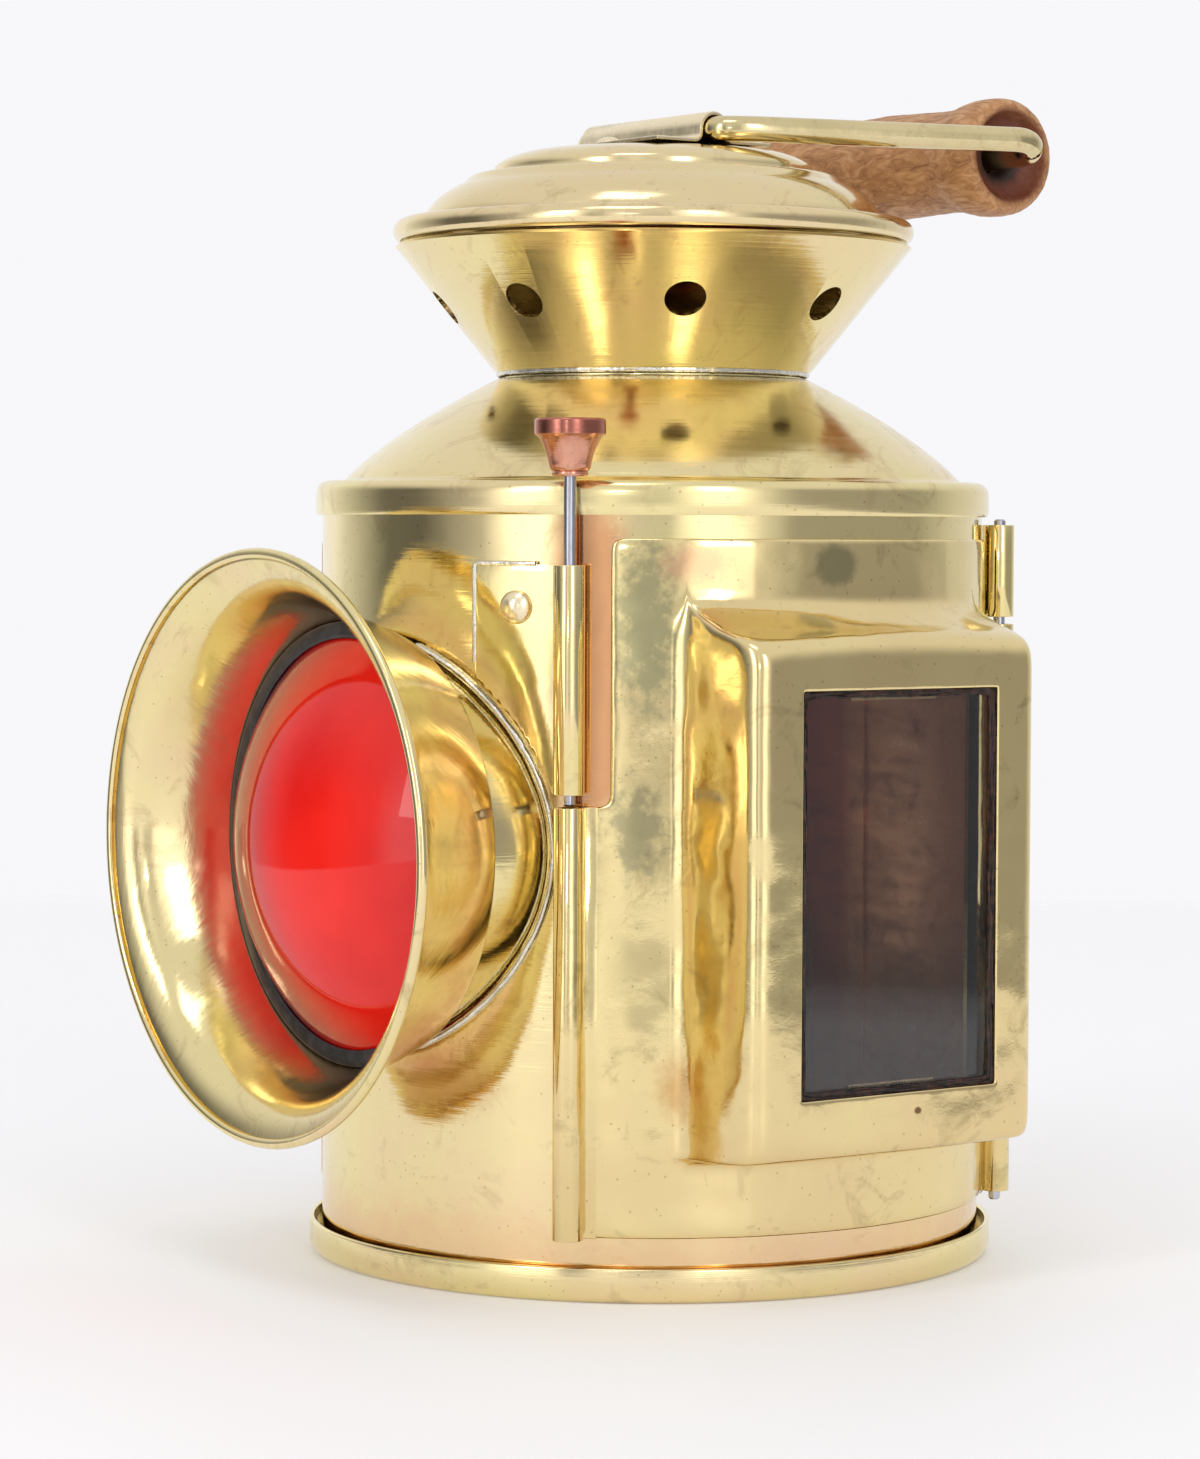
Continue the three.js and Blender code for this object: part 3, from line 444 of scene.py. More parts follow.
# ------------------------------------------------------------------ shoulder
# One spinning: a skirt that slips over the tube, a rounded ledge, and a dome that rises to the neck.
band_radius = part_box("shoulder_dome")[1].x
band_bottom, neck_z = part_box("shoulder_dome")[0].z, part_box("shoulder_dome")[1].z
LEDGE, LEDGE_INNER, NECK = 0.1632, 0.0653, 0.0331
EASE = 0.0026
outline = [(band_radius - 0.0003, band_bottom), (band_radius, band_bottom + 0.0008)]
outline += arc((band_radius - EASE, LEDGE - EASE), EASE, 0, 84)
outline += curve((LEDGE_INNER + 0.0012, LEDGE - 0.0001), (LEDGE_INNER, LEDGE),
                 (LEDGE_INNER - 0.0007, LEDGE + 0.0009), 4)
outline += curve((LEDGE_INNER - 0.0010, LEDGE + 0.0013), (0.0542, 0.1743), (NECK, neck_z), 18)
shoulder = spun("shoulder", outline, steps=200)
sheet_wall(shoulder, DOME_SHEET)
dome_brass = metal("dome_brass", GOLD, PINK, BROWN, (22, 22, 1100), 0.15, dents=0.05, spread=19)
settle(shoulder, dome_brass, "lantern", "brass", "shoulder_dome", smooth=50)

# ------------------------------------------------------------------ chimney
# A cone of sheet with punched vents stands in the neck. A bead of soft solder closes the joint.
foot_z = 0.1871
cone_top_radius, cone_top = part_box("vent_cone")[1].x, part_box("vent_cone")[1].z
outline = [(NECK - 0.002, neck_z - 0.006), (NECK - 0.002, foot_z - 0.0008), (NECK, foot_z + 0.0002),
           (cone_top_radius - 0.0004, cone_top - 0.0004), (cone_top_radius, cone_top)]
chimney = spun("chimney", outline, steps=200)
chimney.data.materials.append(None)
sheet_wall(chimney, DOME_SHEET, inner=True)
VENTS, FIRST_VENT, VENT_RING, VENT_HEIGHT, VENT_RADIUS = 8, 16.6, 0.0438, 0.2002, 0.0043
lean = math.atan2(cone_top_radius - NECK, cone_top - foot_z)
for i in range(VENTS):
    bpy.ops.object.select_all(action="DESELECT")
    bpy.ops.mesh.primitive_cylinder_add(vertices=48, radius=VENT_RADIUS, depth=0.012)
    punch = bpy.context.object
    around = Matrix.Rotation(math.radians(FIRST_VENT + 360 / VENTS * i), 4, "Z")
    leaning = Matrix.Rotation(math.pi / 2 + lean, 4, "X")
    punch.matrix_world = around @ Matrix.Translation((0, -VENT_RING, VENT_HEIGHT)) @ leaning
    cut(chimney, punch)
chimney.data.materials.clear()
settle(chimney, turned_brass, "lantern", "brass", "vent_cone", smooth=50, second=soot)

solder_metal = metal("solder", (0.80, 0.78, 0.72), (0.66, 0.61, 0.50), (0.30, 0.24, 0.17), (900, 900, 900),
                     0.24, dents=0.3, spread=130, stains=0.8)


def lumpy(piece, amount, seed, rounds=1):
    """Moves every point a little at random and smooths the piece again."""
    pick(piece)
    bpy.ops.object.mode_set(mode="EDIT")
    bpy.ops.mesh.select_all(action="SELECT")
    bpy.ops.transform.vertex_random(offset=amount, seed=seed)
    bpy.ops.mesh.vertices_smooth(factor=0.5, repeat=rounds)
    bpy.ops.object.mode_set(mode="OBJECT")


bead_z, BEAD_HALF = (neck_z + foot_z) / 2, 0.00075
outline = arc((NECK - 0.0005, bead_z), BEAD_HALF, -90, 90, 6) + [(NECK - 0.0012, bead_z + BEAD_HALF)]
outline += [(NECK - 0.0012, bead_z - BEAD_HALF), (NECK - 0.0005, bead_z - BEAD_HALF)]
bead = spun("neck_bead", outline, steps=150)
lumpy(bead, 0.00012, 4)
settle(bead, solder_metal, "lantern", "solder", "neck_solder")

# ------------------------------------------------------------------ cap
# The cap is spun in two steps up to a flat top, and its edge is rolled over a wire.
rim_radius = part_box("top_cap")[1].x
cap_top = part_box("top_cap")[1].z
RIM_Z, BEAD = 0.2160, 0.00255
outline = [(0, cap_top), (0.0150, cap_top)]
outline += curve((0.0190, cap_top - 0.00005), (0.0292, cap_top - 0.0001), (0.0330, 0.2303), 9)
outline += curve((0.0336, 0.2298), (0.0337, 0.2276), (0.0348, 0.2272), 5)
outline += curve((0.0360, 0.2271), (0.0380, 0.2285), (0.0393, 0.2272), 6)
outline += curve((0.0402, 0.2262), (0.0466, 0.2235), (0.0487, 0.2190), 8)
outline += curve((0.0490, 0.2178), (0.0494, 0.2171), (0.0502, 0.2171), 4)
outline += arc((rim_radius - BEAD, RIM_Z), BEAD, 150, -90, 18)
cap = spun("cap", outline, steps=200)
sheet_wall(cap, 0.0007, inner=True)
cap_brass = metal("cap_brass", (0.84, 0.70, 0.39), PINK, BROWN, (24, 24, 900), 0.13, dents=0.06, spread=24)
settle(cap, cap_brass, "lantern", "brass", "top_cap", smooth=60, second=soot)

# ------------------------------------------------------------------ saddle strap
# A strip is bent over the bail's straight back and riveted to the cap through its two flanges.
strap_low, strap_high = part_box("handle_strap")
WIRE = 0.0027
PIVOT = 0.2364
hump = strap_high.z - PIVOT
foot = strap_low.z + 0.0008
# the outline is the strip's outer face, seen along the bail
outline = [(strap_low.y, foot), (-hump - 0.0022, foot)]
outline += curve((-hump - 0.0012, foot), (-hump - 0.0001, foot), (-hump, foot + 0.0012), 4)
outline += arc((0, PIVOT), hump, 172, 8, 14)
outline += curve((hump, foot + 0.0012), (hump + 0.0001, foot), (hump + 0.0012, foot), 4)
outline += [(hump + 0.0022, foot), (strap_high.y, foot)]


def folded(name, outline, start, length, along):
    """Draws a bent strip's outline and pulls it out along an axis."""
    if along == "X":
        points, pull = [Vector((start, a, b)) for a, b in outline], (length, 0, 0)
    else:
        points, pull = [Vector((a, b, start)) for a, b in outline], (0, 0, length)
    piece = drawn(name, points)
    bpy.ops.mesh.extrude_edges_move(TRANSFORM_OT_translate={"value": pull})
    bpy.ops.mesh.select_all(action="SELECT")
    bpy.ops.mesh.normals_make_consistent(inside=False)
    bpy.ops.object.mode_set(mode="OBJECT")
    return piece


def face_out(piece, point, outward):
    """Turns an open skin over if the face nearest a point looks the other way."""
    near = min(piece.data.polygons, key=lambda face: (face.center - Vector(point)).length)
    if near.normal.dot(Vector(outward)) < 0:
        piece.data.flip_normals()


strap = folded("saddle", outline, strap_low.x, strap_high.x - strap_low.x, "X")
face_out(strap, (0, 0, strap_high.z), (0, 0, 1))
sheet_wall(strap, STRIP)
soften(strap, 0.0002, 60)
strap_brass = metal("strap_brass", (0.95, 0.82, 0.56), (0.91, 0.76, 0.55), BROWN, (1400, 60, 60), 0.26,
                    dents=0.2, spread=60, stains=0.2)
settle(strap, strap_brass, "lantern", "brass", "handle_strap")


def rivet(name, place, outward, radius, height, cad_node):
    """A hammered rivet head: a low dome with a thin rim."""
    dome = [(0, 1), (0.3, 0.95), (0.6, 0.74), (0.85, 0.4), (0.97, 0.12), (1, 0)]
    shank = [(radius * 0.6, -0.0003), (radius * 0.6, -0.0035), (0, -0.0035)]
    head = spun(name, [(radius * out, height * up) for out, up in dome] + shank, steps=40)
    facing = Vector(outward).to_track_quat("Z", "Y").to_matrix().to_4x4()
    head.matrix_world = Matrix.Translation(place) @ facing
    lumpy(head, 0.00006, 3)
    settle(head, strap_brass, "lantern", "brass", cad_node, smooth=60)


for side, name, cad_node in [(-1, "front_rivet", "strap_rivet_front"), (1, "back_rivet", "strap_rivet_back")]:
    rivet(name, (side * 0.003, side * 0.0095, foot + 0.00005), (0, 0, 1), 0.003, 0.0017, cad_node)

# ------------------------------------------------------------------ bail
# One length of drawn wire runs through the saddle, out to both sides and back into the grip's ends.
GRIP_Y, GRIP_Z = 0.0676, 0.2335
BAIL_HALF, STRAP_HALF = 0.0477, strap_high.x
half = [(0.001, GRIP_Y, GRIP_Z), (BAIL_HALF - 0.0037, GRIP_Y, GRIP_Z),
        (BAIL_HALF + 0.0009, GRIP_Y - 0.0045, PIVOT - 0.0006), (STRAP_HALF + 0.0044, 0, PIVOT)]
corners = [Vector(p) for p in half] + [Vector((-x, y, z)) for x, y, z in reversed(half)]
TURN, EASED = 0.0036, 0.012  # how far from a corner the wire bends, and on the long runs outside the saddle
route = [corners[0]]
for i, (before, corner, after) in enumerate(zip(corners, corners[1:], corners[2:])):
    enter = corner + (before - corner).normalized() * (EASED if i == 2 else TURN)
    leave = corner + (after - corner).normalized() * (EASED if i == 3 else TURN)
    route += [enter.lerp(corner, t).lerp(corner.lerp(leave, t), t) for t in [i / 10 for i in range(11)]]
route.append(corners[-1])


def wire(name, points, radius, resolution):
    """A round wire through a row of points."""
    bpy.ops.object.select_all(action="DESELECT")
    bpy.ops.curve.primitive_bezier_curve_add()
    piece = bpy.context.object
    piece.name = name
    piece.data.splines.clear()
    line = piece.data.splines.new("POLY")
    line.points.add(len(points) - 1)
    for point, place in zip(line.points, points):
        point.co = (*place, 1)
    piece.data.dimensions = "3D"
    piece.data.bevel_depth = radius
    piece.data.bevel_resolution = resolution
    piece.data.use_fill_caps = True
    bpy.ops.object.convert(target="MESH")
    return bpy.context.object


bail = wire("bail", route, WIRE, 8)
wire_brass = metal("wire_brass", (0.74, 0.62, 0.35), (0.62, 0.52, 0.27), BROWN, (260, 260, 260), 0.1,
                   dents=0.05, spread=60)
settle(bail, wire_brass, "bail", "brass_wire", "bail_wire")

# ------------------------------------------------------------------ grip
# A turned wooden handle with swollen ends. Its reddish stain is worn off along the middle, and the
# ends are hollowed where the wire goes in; painted shade darkens the hollows to near-black.
grip_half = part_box("wooden_grip")[1].x
END_BORE = [(0.0031, 0.0092), (0.0034, 0.0062)]
END_BOWL = [(0.0044, 0.0046), (0.0086, 0.0040), (0.0095, 0.0010)]
SWELL = [(0.0098, 0.0001), (0.0126, 0.0000), (0.01265, 0.0044)]
NECKING = [(0.01265, 0.0062), (0.01265, 0.0105), (0.0112, 0.0142)]
BARREL = [(0.0109, 0.0165), (0.0112, 0.028), (0.0116, grip_half)]


def inwards(points):
    """Moves distances from the grip's end to distances from its middle."""
    return [(r, d - grip_half) for r, d in points]


side = inwards(END_BORE) + curve(*inwards(END_BOWL), 7) + curve(*inwards(SWELL), 8)
side += curve(*inwards(NECKING), 6) + curve(*inwards(BARREL), 9)[1:]
outline = side + [(r, -d) for r, d in reversed(side[:-1])]
grip = spun("grip", outline, steps=72, about="X", at=(0, GRIP_Y, GRIP_Z))
use(grip, "SUBSURF", levels=1, render_levels=1)
lumpy(grip, 0.00022, 11, 2)
oak, shader, link = new_material("worn_wood", {})
place = node(oak, "ShaderNodeTexCoord").outputs["Object"]
along_grain = node(oak, "ShaderNodeMapping", Scale=(130, 380, 380))
link(place, along_grain.inputs["Vector"])
grain = noise(oak, along_grain.outputs["Vector"], 1, 8, Roughness=0.7, Distortion=1.6)
mottle = noise(oak, place, 75, 5, Roughness=0.62)
xyz = node(oak, "ShaderNodeSeparateXYZ")
link(place, xyz.inputs["Vector"])
endwards = span(oak, math_node(oak, "ABSOLUTE", xyz.outputs["X"]), grip_half * 0.62, grip_half * 1.02)
uneven = math_node(oak, "MULTIPLY_ADD", mottle, 1.1, endwards)
bare = ramp(oak, grain, (0.3, (0.22, 0.09, 0.035)), (0.5, (0.49, 0.235, 0.09)), (0.7, (0.70, 0.41, 0.20)))
stain = ramp(oak, mottle, (0.35, (0.10, 0.018, 0.010)), (0.6, (0.24, 0.055, 0.028)))
link(mix(oak, ramp(oak, uneven, (1.25, grey(0)), (2.3, grey(1))), bare, stain), shader.inputs["Base Color"])
link(ramp(oak, grain, (0.3, grey(0.62)), (0.7, grey(0.42))), shader.inputs["Roughness"])
link(bump(oak, grain, 0.5, 0.0004), shader.inputs["Normal"])
for end in (-1, 1):
    patch(oak, (0.16, 0.032, 0.012), (end * grip_half, GRIP_Y, GRIP_Z), (0.0080, 0.0101, 0.0101),
          0.95, 0.1, 0.1)
    # Painted shade: the hollows at the ends are darkened to near-black.
    patch(oak, (0.02, 0.018, 0.018), (end * (grip_half - 0.0050), GRIP_Y, GRIP_Z), (0.0040, 0.0060, 0.0060),
          0.9, 0.25, 0.2)
settle(grip, oak, "grip", "wood", "wooden_grip", smooth=60)

# ------------------------------------------------------------------ lens collar
# A short tube is fitted to the curve of the body and soldered round its foot. The hood and the glass
# sit on it.
COLLAR = 0.0414
collar_end = -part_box("lens_collar")[0].y
collar = spun("collar", [(COLLAR, 0.052), (COLLAR, collar_end)], steps=160, about="Y", at=(0, 0, LENS_HEIGHT))
collar.data.materials.append(turned_brass)
collar.data.materials.append(inner_brass)
sheet_wall(collar, SHEET, inner=True)
bpy.ops.object.select_all(action="DESELECT")
bpy.ops.mesh.primitive_cylinder_add(vertices=224, radius=body_radius + 0.0003, depth=0.2,
                                    location=(0, 0, LENS_HEIGHT))
cut(collar, bpy.context.object)
lens_brass = metal("lens_brass", GOLD, PINK, BROWN, (900, 70, 70), 0.12, dents=0.12, spread=24)
# Painted reflection: the hood's throat round the lens is tinted pink, like the red lens mirrored in it.
patch(lens_brass, (0.80, 0.42, 0.28), (0, -0.078, LENS_HEIGHT), (0.0475, 0.012, 0.0475), 0.7, 0.25, 0.3)
settle(collar, turned_brass, "lantern", "brass", "lens_collar", smooth=50)


def bead_line(name, spots, radius, seed, cad_node=None):
    """A lumpy bead of solder that runs through a row of points."""
    bead = wire(name, spots, radius, 3)
    use(bead, "SUBSURF", levels=1, render_levels=1)
    lumpy(bead, radius * 0.28, seed, 2)
    settle(bead, solder_metal, "lantern", "solder", *([cad_node] if cad_node else []), smooth=70)


def collar_foot(side):
    """Points along the line where the collar meets the body, on one side."""
    ring = COLLAR + 0.0012
    spots = []
    for i in range(61):
        angle = math.radians(-72 + 144 * i / 60)
        x = side * ring * math.cos(angle)
        spots.append((x, -math.sqrt((body_radius + 0.0004) ** 2 - x * x),
                      LENS_HEIGHT + ring * math.sin(angle)))
    return spots


bead_line("solder_door_side", collar_foot(1), 0.00075, 5, "collar_solder_door_side")
bead_line("solder_far_side", collar_foot(-1), 0.00075, 8, "collar_solder_far_side")

# ------------------------------------------------------------------ hood
# The hood is spun from one disc: a small flange, a slow cone and a flared mouth rolled over a wire.
hood_back, hood_mouth = -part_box("lens_hood")[1].y, -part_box("lens_hood")[0].y
mouth_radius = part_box("lens_hood")[1].x
ROLL = 0.0013
outline = [(COLLAR + 0.0004, hood_back), (0.0432, hood_back)]
outline += arc((0.0432, hood_back + 0.0008), 0.0008, -80, -15, 4)
outline += [(0.0447, 0.0730)] + curve((0.0462, 0.0768), (0.0496, 0.0872), (0.0516, 0.0916), 8)
outline += curve((0.0523, 0.0930), (0.0548, 0.0968), (mouth_radius - ROLL - 0.0002, hood_mouth - 0.0018), 8)
outline += arc((mouth_radius - ROLL, hood_mouth - ROLL + 0.0002), ROLL - 0.0002, -60, 150, 10)
hood = spun("hood", outline, steps=200, about="Y", at=(0, 0, LENS_HEIGHT))
face_out(hood, (0, -0.082, LENS_HEIGHT + 0.048), (0, 0, 1))
sheet_wall(hood, STRIP)
settle(hood, lens_brass, "lantern", "brass", "lens_hood", smooth=60)

# ------------------------------------------------------------------ packing ring
# A black rubber ring grips the edge of the glass and fills the space to the hood.
lens_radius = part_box("red_lens")[1].x
LENS_EDGE = 0.0764
lip = LENS_EDGE + 0.0012
outline = [(lens_radius + 0.0003, LENS_EDGE - 0.0024), (0.0442, LENS_EDGE - 0.0014),
           (0.0453, LENS_EDGE + 0.0004)]
outline += curve((0.0453, LENS_EDGE + 0.0006), (0.0453, lip), (0.0438, lip), 5)
outline += curve((0.0432, lip), (0.0418, lip), (0.0418, LENS_EDGE + 0.0008), 5)
outline += [(lens_radius + 0.0003, LENS_EDGE + 0.0003), (lens_radius + 0.0003, LENS_EDGE - 0.0024)]
ring = spun("packing", outline, steps=140, about="Y", at=(0, 0, LENS_HEIGHT))
black, shader, link = new_material("black_rubber", {"Roughness": 0.38})
dust = noise(black, node(black, "ShaderNodeTexCoord").outputs["Object"], 320, 6, Roughness=0.7)
link(ramp(black, dust, (0.45, (0.008, 0.008, 0.012)), (0.75, (0.05, 0.05, 0.06))),
     shader.inputs["Base Color"])
link(bump(black, dust, 0.25, 0.0002), shader.inputs["Normal"])
settle(ring, black, "lantern", "rubber", "lens_gasket", smooth=50)

# ------------------------------------------------------------------ red lens
# A plano-convex disc of red glass. Its dome stands out into the hood.
lens_back, lens_front = -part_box("red_lens")[1].y, -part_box("red_lens")[0].y
rise = lens_front - LENS_EDGE
sphere = (lens_radius ** 2 + rise ** 2) / (2 * rise)
edge_angle = math.degrees(math.acos(lens_radius / sphere))
outline = [(0, lens_back), (lens_radius - 0.0005, lens_back), (lens_radius, lens_back + 0.0005)]
outline += arc((0, lens_front - sphere), sphere, edge_angle, 90, 26)
outline[-1] = (0, lens_front)
lens = spun("lens", outline, steps=140, about="Y", at=(0, 0, LENS_HEIGHT))
# Painted glow: the red colour also feeds a weak emission, though no lamp burns behind the lens. Colour and
# glow darken towards the rim as the lens is seen.
ruby, shader, link = new_material("red_glass", {"Roughness": 0.03, "IOR": 1.5, "Emission Strength": 0.1})
place = node(ruby, "ShaderNodeTexCoord").outputs["Object"]
slanted = node(ruby, "ShaderNodeLayerWeight", Blend=0.5).outputs["Facing"]
glow = ramp(ruby, noise(ruby, place, 34, 3), (0.3, (0.68, 0.003, 0.002)), (0.7, (0.88, 0.014, 0.006)))
depth = mix(ruby, ramp(ruby, slanted, (0.5, grey(0)), (0.9, grey(1))), glow, (0.16, 0.004, 0.002))
link(depth, shader.inputs["Base Color"])
link(depth, shader.inputs["Emission Color"])
link(bump(ruby, noise(ruby, place, 60, 2), 0.12, 0.001), shader.inputs["Normal"])
settle(lens, ruby, "lantern", "red_glass", "red_lens", smooth=40)

# ------------------------------------------------------------------ glazed panels
# Each panel is one pressing: a curved sheet with a square box that stands out to a flat window face.
# The box has soft corners, a sloping roof and a flat floor. The same pressing serves both sides.
BOX_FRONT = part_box("door_panel")[1].x
BOX_HALF, BOX_FLOOR = 0.0373, 0.0286
WINDOW_HALF, WINDOW_LOW, WINDOW_HIGH = 0.0250, 0.0417, 0.1217
PANEL_RADIUS = body_radius + 0.0013
LATCH_NOTCH, HINGE_NOTCH = 0.0984, 0.1335
PANEL_LOW, PANEL_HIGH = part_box("door_panel")[0].z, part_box("door_panel")[1].z
SOFT = 0.0042
pressed_brass = metal("pressed_brass", (0.85, 0.70, 0.35), (0.80, 0.61, 0.32), (0.30, 0.22, 0.09),
                      (160, 160, 260), 0.11, wear=0.7, dents=0.62, spread=20, stains=0.7)
for color, centre, size, amount, soft, ragged in [
        ((0.42, 0.40, 0.22), on_round(52, 0.134, PANEL_RADIUS), (0.005, 0.005, 0.016), 0.8, 0.5, 1.6),
        ((0.40, 0.36, 0.20), on_round(51, 0.094, PANEL_RADIUS), (0.005, 0.005, 0.008), 0.8, 0.5, 1.6),
        ((0.34, 0.31, 0.17), on_round(84, 0.1462, PANEL_RADIUS), (0.004, 0.0047, 0.0042), 0.75, 0.25, 0.3),
        # painted shade and reddish reflection under the shoulder band, on the door's top edge
        ((0.80, 0.45, 0.27), on_round(60, 0.1465, PANEL_RADIUS), (0.005, 0.007, 0.0035), 0.7, 0.6, 0.7),
        ((0.60, 0.30, 0.10), (0.060, -BOX_HALF, 0.043), (0.006, 0.004, 0.006), 0.6, 0.6, 0.8),
        ((0.20, 0.10, 0.05), (BOX_FRONT, 0.0046, 0.0378), (0.0009, 0.0009, 0.0007), 0.95, 0.3, 0.2)]:
    patch(pressed_brass, color, centre, size, amount, soft, ragged)


def pressed_panel(name, first_edge, last_edge):
    """A grid of stations across and up the panel, each with how far it stands out to the box's face."""
    def edge_y(azimuth):
        return -math.cos(math.radians(azimuth)) * PANEL_RADIUS

    near = [(edge_y(azimuth), 0) for azimuth in (first_edge, 46.5, 50.4, 53.8, 56.0)]
    near += [(-BOX_HALF - 0.0022, 0), (-BOX_HALF - 0.0006, 0.05), (-BOX_HALF, 0.22),
             (-BOX_HALF + 0.0002, 0.5), (-BOX_HALF + 0.0005, 0.76), (-BOX_HALF + SOFT * 0.32, 0.93),
             (-BOX_HALF + SOFT, 1), (-0.0290, 1), (-WINDOW_HALF - 0.0007, 1), (-WINDOW_HALF, 1),
             (-WINDOW_HALF + 0.0007, 1), (-0.0170, 1), (-0.0085, 1)]
    far = [(-y, share) for y, share in reversed(near)]
    far[-1] = (edge_y(last_edge), 0)
    columns = near + [(0, 1)] + far
    rows = [(z, 0) for z in (PANEL_LOW, 0.0160, 0.0205, 0.0250, BOX_FLOOR - 0.0012)]
    rows += [(BOX_FLOOR, 0.07), (BOX_FLOOR + 0.0003, 0.5), (BOX_FLOOR + 0.0007, 0.8),
             (BOX_FLOOR + SOFT * 0.36, 0.95)]
    rows += [(z, 1) for z in (BOX_FLOOR + SOFT, 0.0380, WINDOW_LOW - 0.0007, WINDOW_LOW,
                              WINDOW_LOW + 0.0007, 0.0560, 0.0720, 0.0860, 0.0950, LATCH_NOTCH, 0.1020,
                              0.1110, WINDOW_HIGH - 0.0007, WINDOW_HIGH, WINDOW_HIGH + 0.0007, 0.1262)]
    rows += [(0.1290, 0.985), (0.1312, 0.90), (0.1326, 0.74), (0.1334, 0.60), (0.1342, 0.46), (0.1360, 0.24),
             (0.1380, 0.06)]
    rows += [(z, 0) for z in (0.1400, 0.1440, 0.1478, PANEL_HIGH)]
    bpy.ops.object.select_all(action="DESELECT")
    bpy.ops.mesh.primitive_grid_add(x_subdivisions=len(columns) - 1, y_subdivisions=len(rows) - 1, size=1)
    piece = bpy.context.object
    piece.name = name
    for i, vertex in enumerate(piece.data.vertices):
        y, across = columns[i % len(columns)]
        z, up = rows[i // len(columns)]
        curved = math.sqrt(PANEL_RADIUS ** 2 - y * y)
        vertex.co = (curved + (BOX_FRONT - curved) * across * up, y, z)
    return piece


def drop_faces(piece, unwanted):
    """Selects faces by their place and deletes them."""
    pick(piece)
    bpy.ops.object.mode_set(mode="EDIT")
    bpy.ops.mesh.select_mode(type="FACE")
    bpy.ops.mesh.select_all(action="DESELECT")
    bpy.ops.object.mode_set(mode="OBJECT")
    for face in piece.data.polygons:
        face.select = unwanted(face.center)
    bpy.ops.object.mode_set(mode="EDIT")
    bpy.ops.mesh.delete(type="FACE")
    bpy.ops.mesh.select_mode(type="VERT")
    bpy.ops.object.mode_set(mode="OBJECT")


def in_window(spot):
    return abs(spot.y) < WINDOW_HALF and WINDOW_LOW < spot.z < WINDOW_HIGH


RING, KNUCKLE = 0.0738, 0.00305  # how far out the rods stand, and the outer radius of the rolls round them
LATCH, HINGE = 40.5, 139.5  # azimuths of the rods


def rolled_edge(name, azimuth, turn, low, high, reach=0.0052):
    """The sheet's edge leaves the body, goes out and is rolled round the rod's axis."""
    angle = math.radians(azimuth)
    centre = Vector((RING * math.sin(angle), -RING * math.cos(angle)))
    outward = centre.normalized()
    aside = Vector((-outward.y, outward.x)) * turn
    radius = KNUCKLE - STRIP / 2
    outline = [centre + outward * radius * math.cos(t) + aside * radius * math.sin(t)
               for t in [math.radians(-170 + 345 * i / 30) for i in range(30, 1, -1)]]
    angle += turn * reach / PANEL_RADIUS
    tail = Vector((math.sin(angle), -math.cos(angle))) * (PANEL_RADIUS - DOME_SHEET / 2)
    leaving = outline.pop()
    outline += [leaving.lerp(tail, 0.35), leaving.lerp(tail, 0.7), tail]
    roll = folded(name, outline, low, high - low, "Z")
    sheet_wall(roll, STRIP, offset=0)
    soften(roll, 0.00018, 70)
    return roll


def join(main, *others):
    """Makes one piece of several."""
    bpy.ops.object.select_all(action="DESELECT")
    for other in others:
        other.select_set(True)
    main.select_set(True)
    bpy.context.view_layer.objects.active = main
    bpy.ops.object.join()
    return main


def finish_panel(piece):
    """Cuts the window, gives the sheet its thickness and rounds every bend."""
    drop_faces(piece, in_window)
    face_out(piece, (BOX_FRONT, 0, 0.035), (1, 0, 0))
    sheet_wall(piece, DOME_SHEET)
    use(piece, "SUBSURF", levels=2, render_levels=2)


door = pressed_panel("door", 42.4, 137.6)
notch_y = math.cos(math.radians(46.0)) * PANEL_RADIUS
drop_faces(door, lambda spot: (spot.y < -notch_y and spot.z > LATCH_NOTCH)
           or (spot.y > notch_y and spot.z > HINGE_NOTCH + 0.0005))
finish_panel(door)
door = join(door, rolled_edge("front_roll", LATCH, 1, PANEL_LOW, LATCH_NOTCH),
            rolled_edge("back_roll", HINGE, -1, PANEL_LOW, HINGE_NOTCH))
settle(door, pressed_brass, "door", "brass", "door_panel", smooth=55)

fixed = pressed_panel("fixed_side", 40.6, 139.4)
finish_panel(fixed)
fixed.matrix_world = Matrix.Rotation(math.pi, 4, "Z")
settle(fixed, pressed_brass, "lantern", "brass", "fixed_panel", smooth=55)

# ------------------------------------------------------------------ panes
# Each window is a cut piece of clear glass, bedded from behind in black sealant and held by two clips.
clear, shader, link = new_material("clear_glass", {"Transmission Weight": 1, "IOR": 1.5})
film = noise(clear, node(clear, "ShaderNodeTexCoord").outputs["Object"], 45, 7, Roughness=0.7)
link(ramp(clear, film, (0.4, (0.97, 0.985, 0.975)), (0.8, (0.86, 0.86, 0.83))), shader.inputs["Base Color"])
link(ramp(clear, film, (0.5, grey(0)), (0.8, grey(0.08))), shader.inputs["Roughness"])
sealant, shader, link = new_material("sealant", {"Roughness": 0.45})
crumbs = noise(sealant, node(sealant, "ShaderNodeTexCoord").outputs["Object"], 700, 6)
link(ramp(sealant, crumbs, (0.4, (0.012, 0.008, 0.007)), (0.75, (0.09, 0.035, 0.02))),
     shader.inputs["Base Color"])


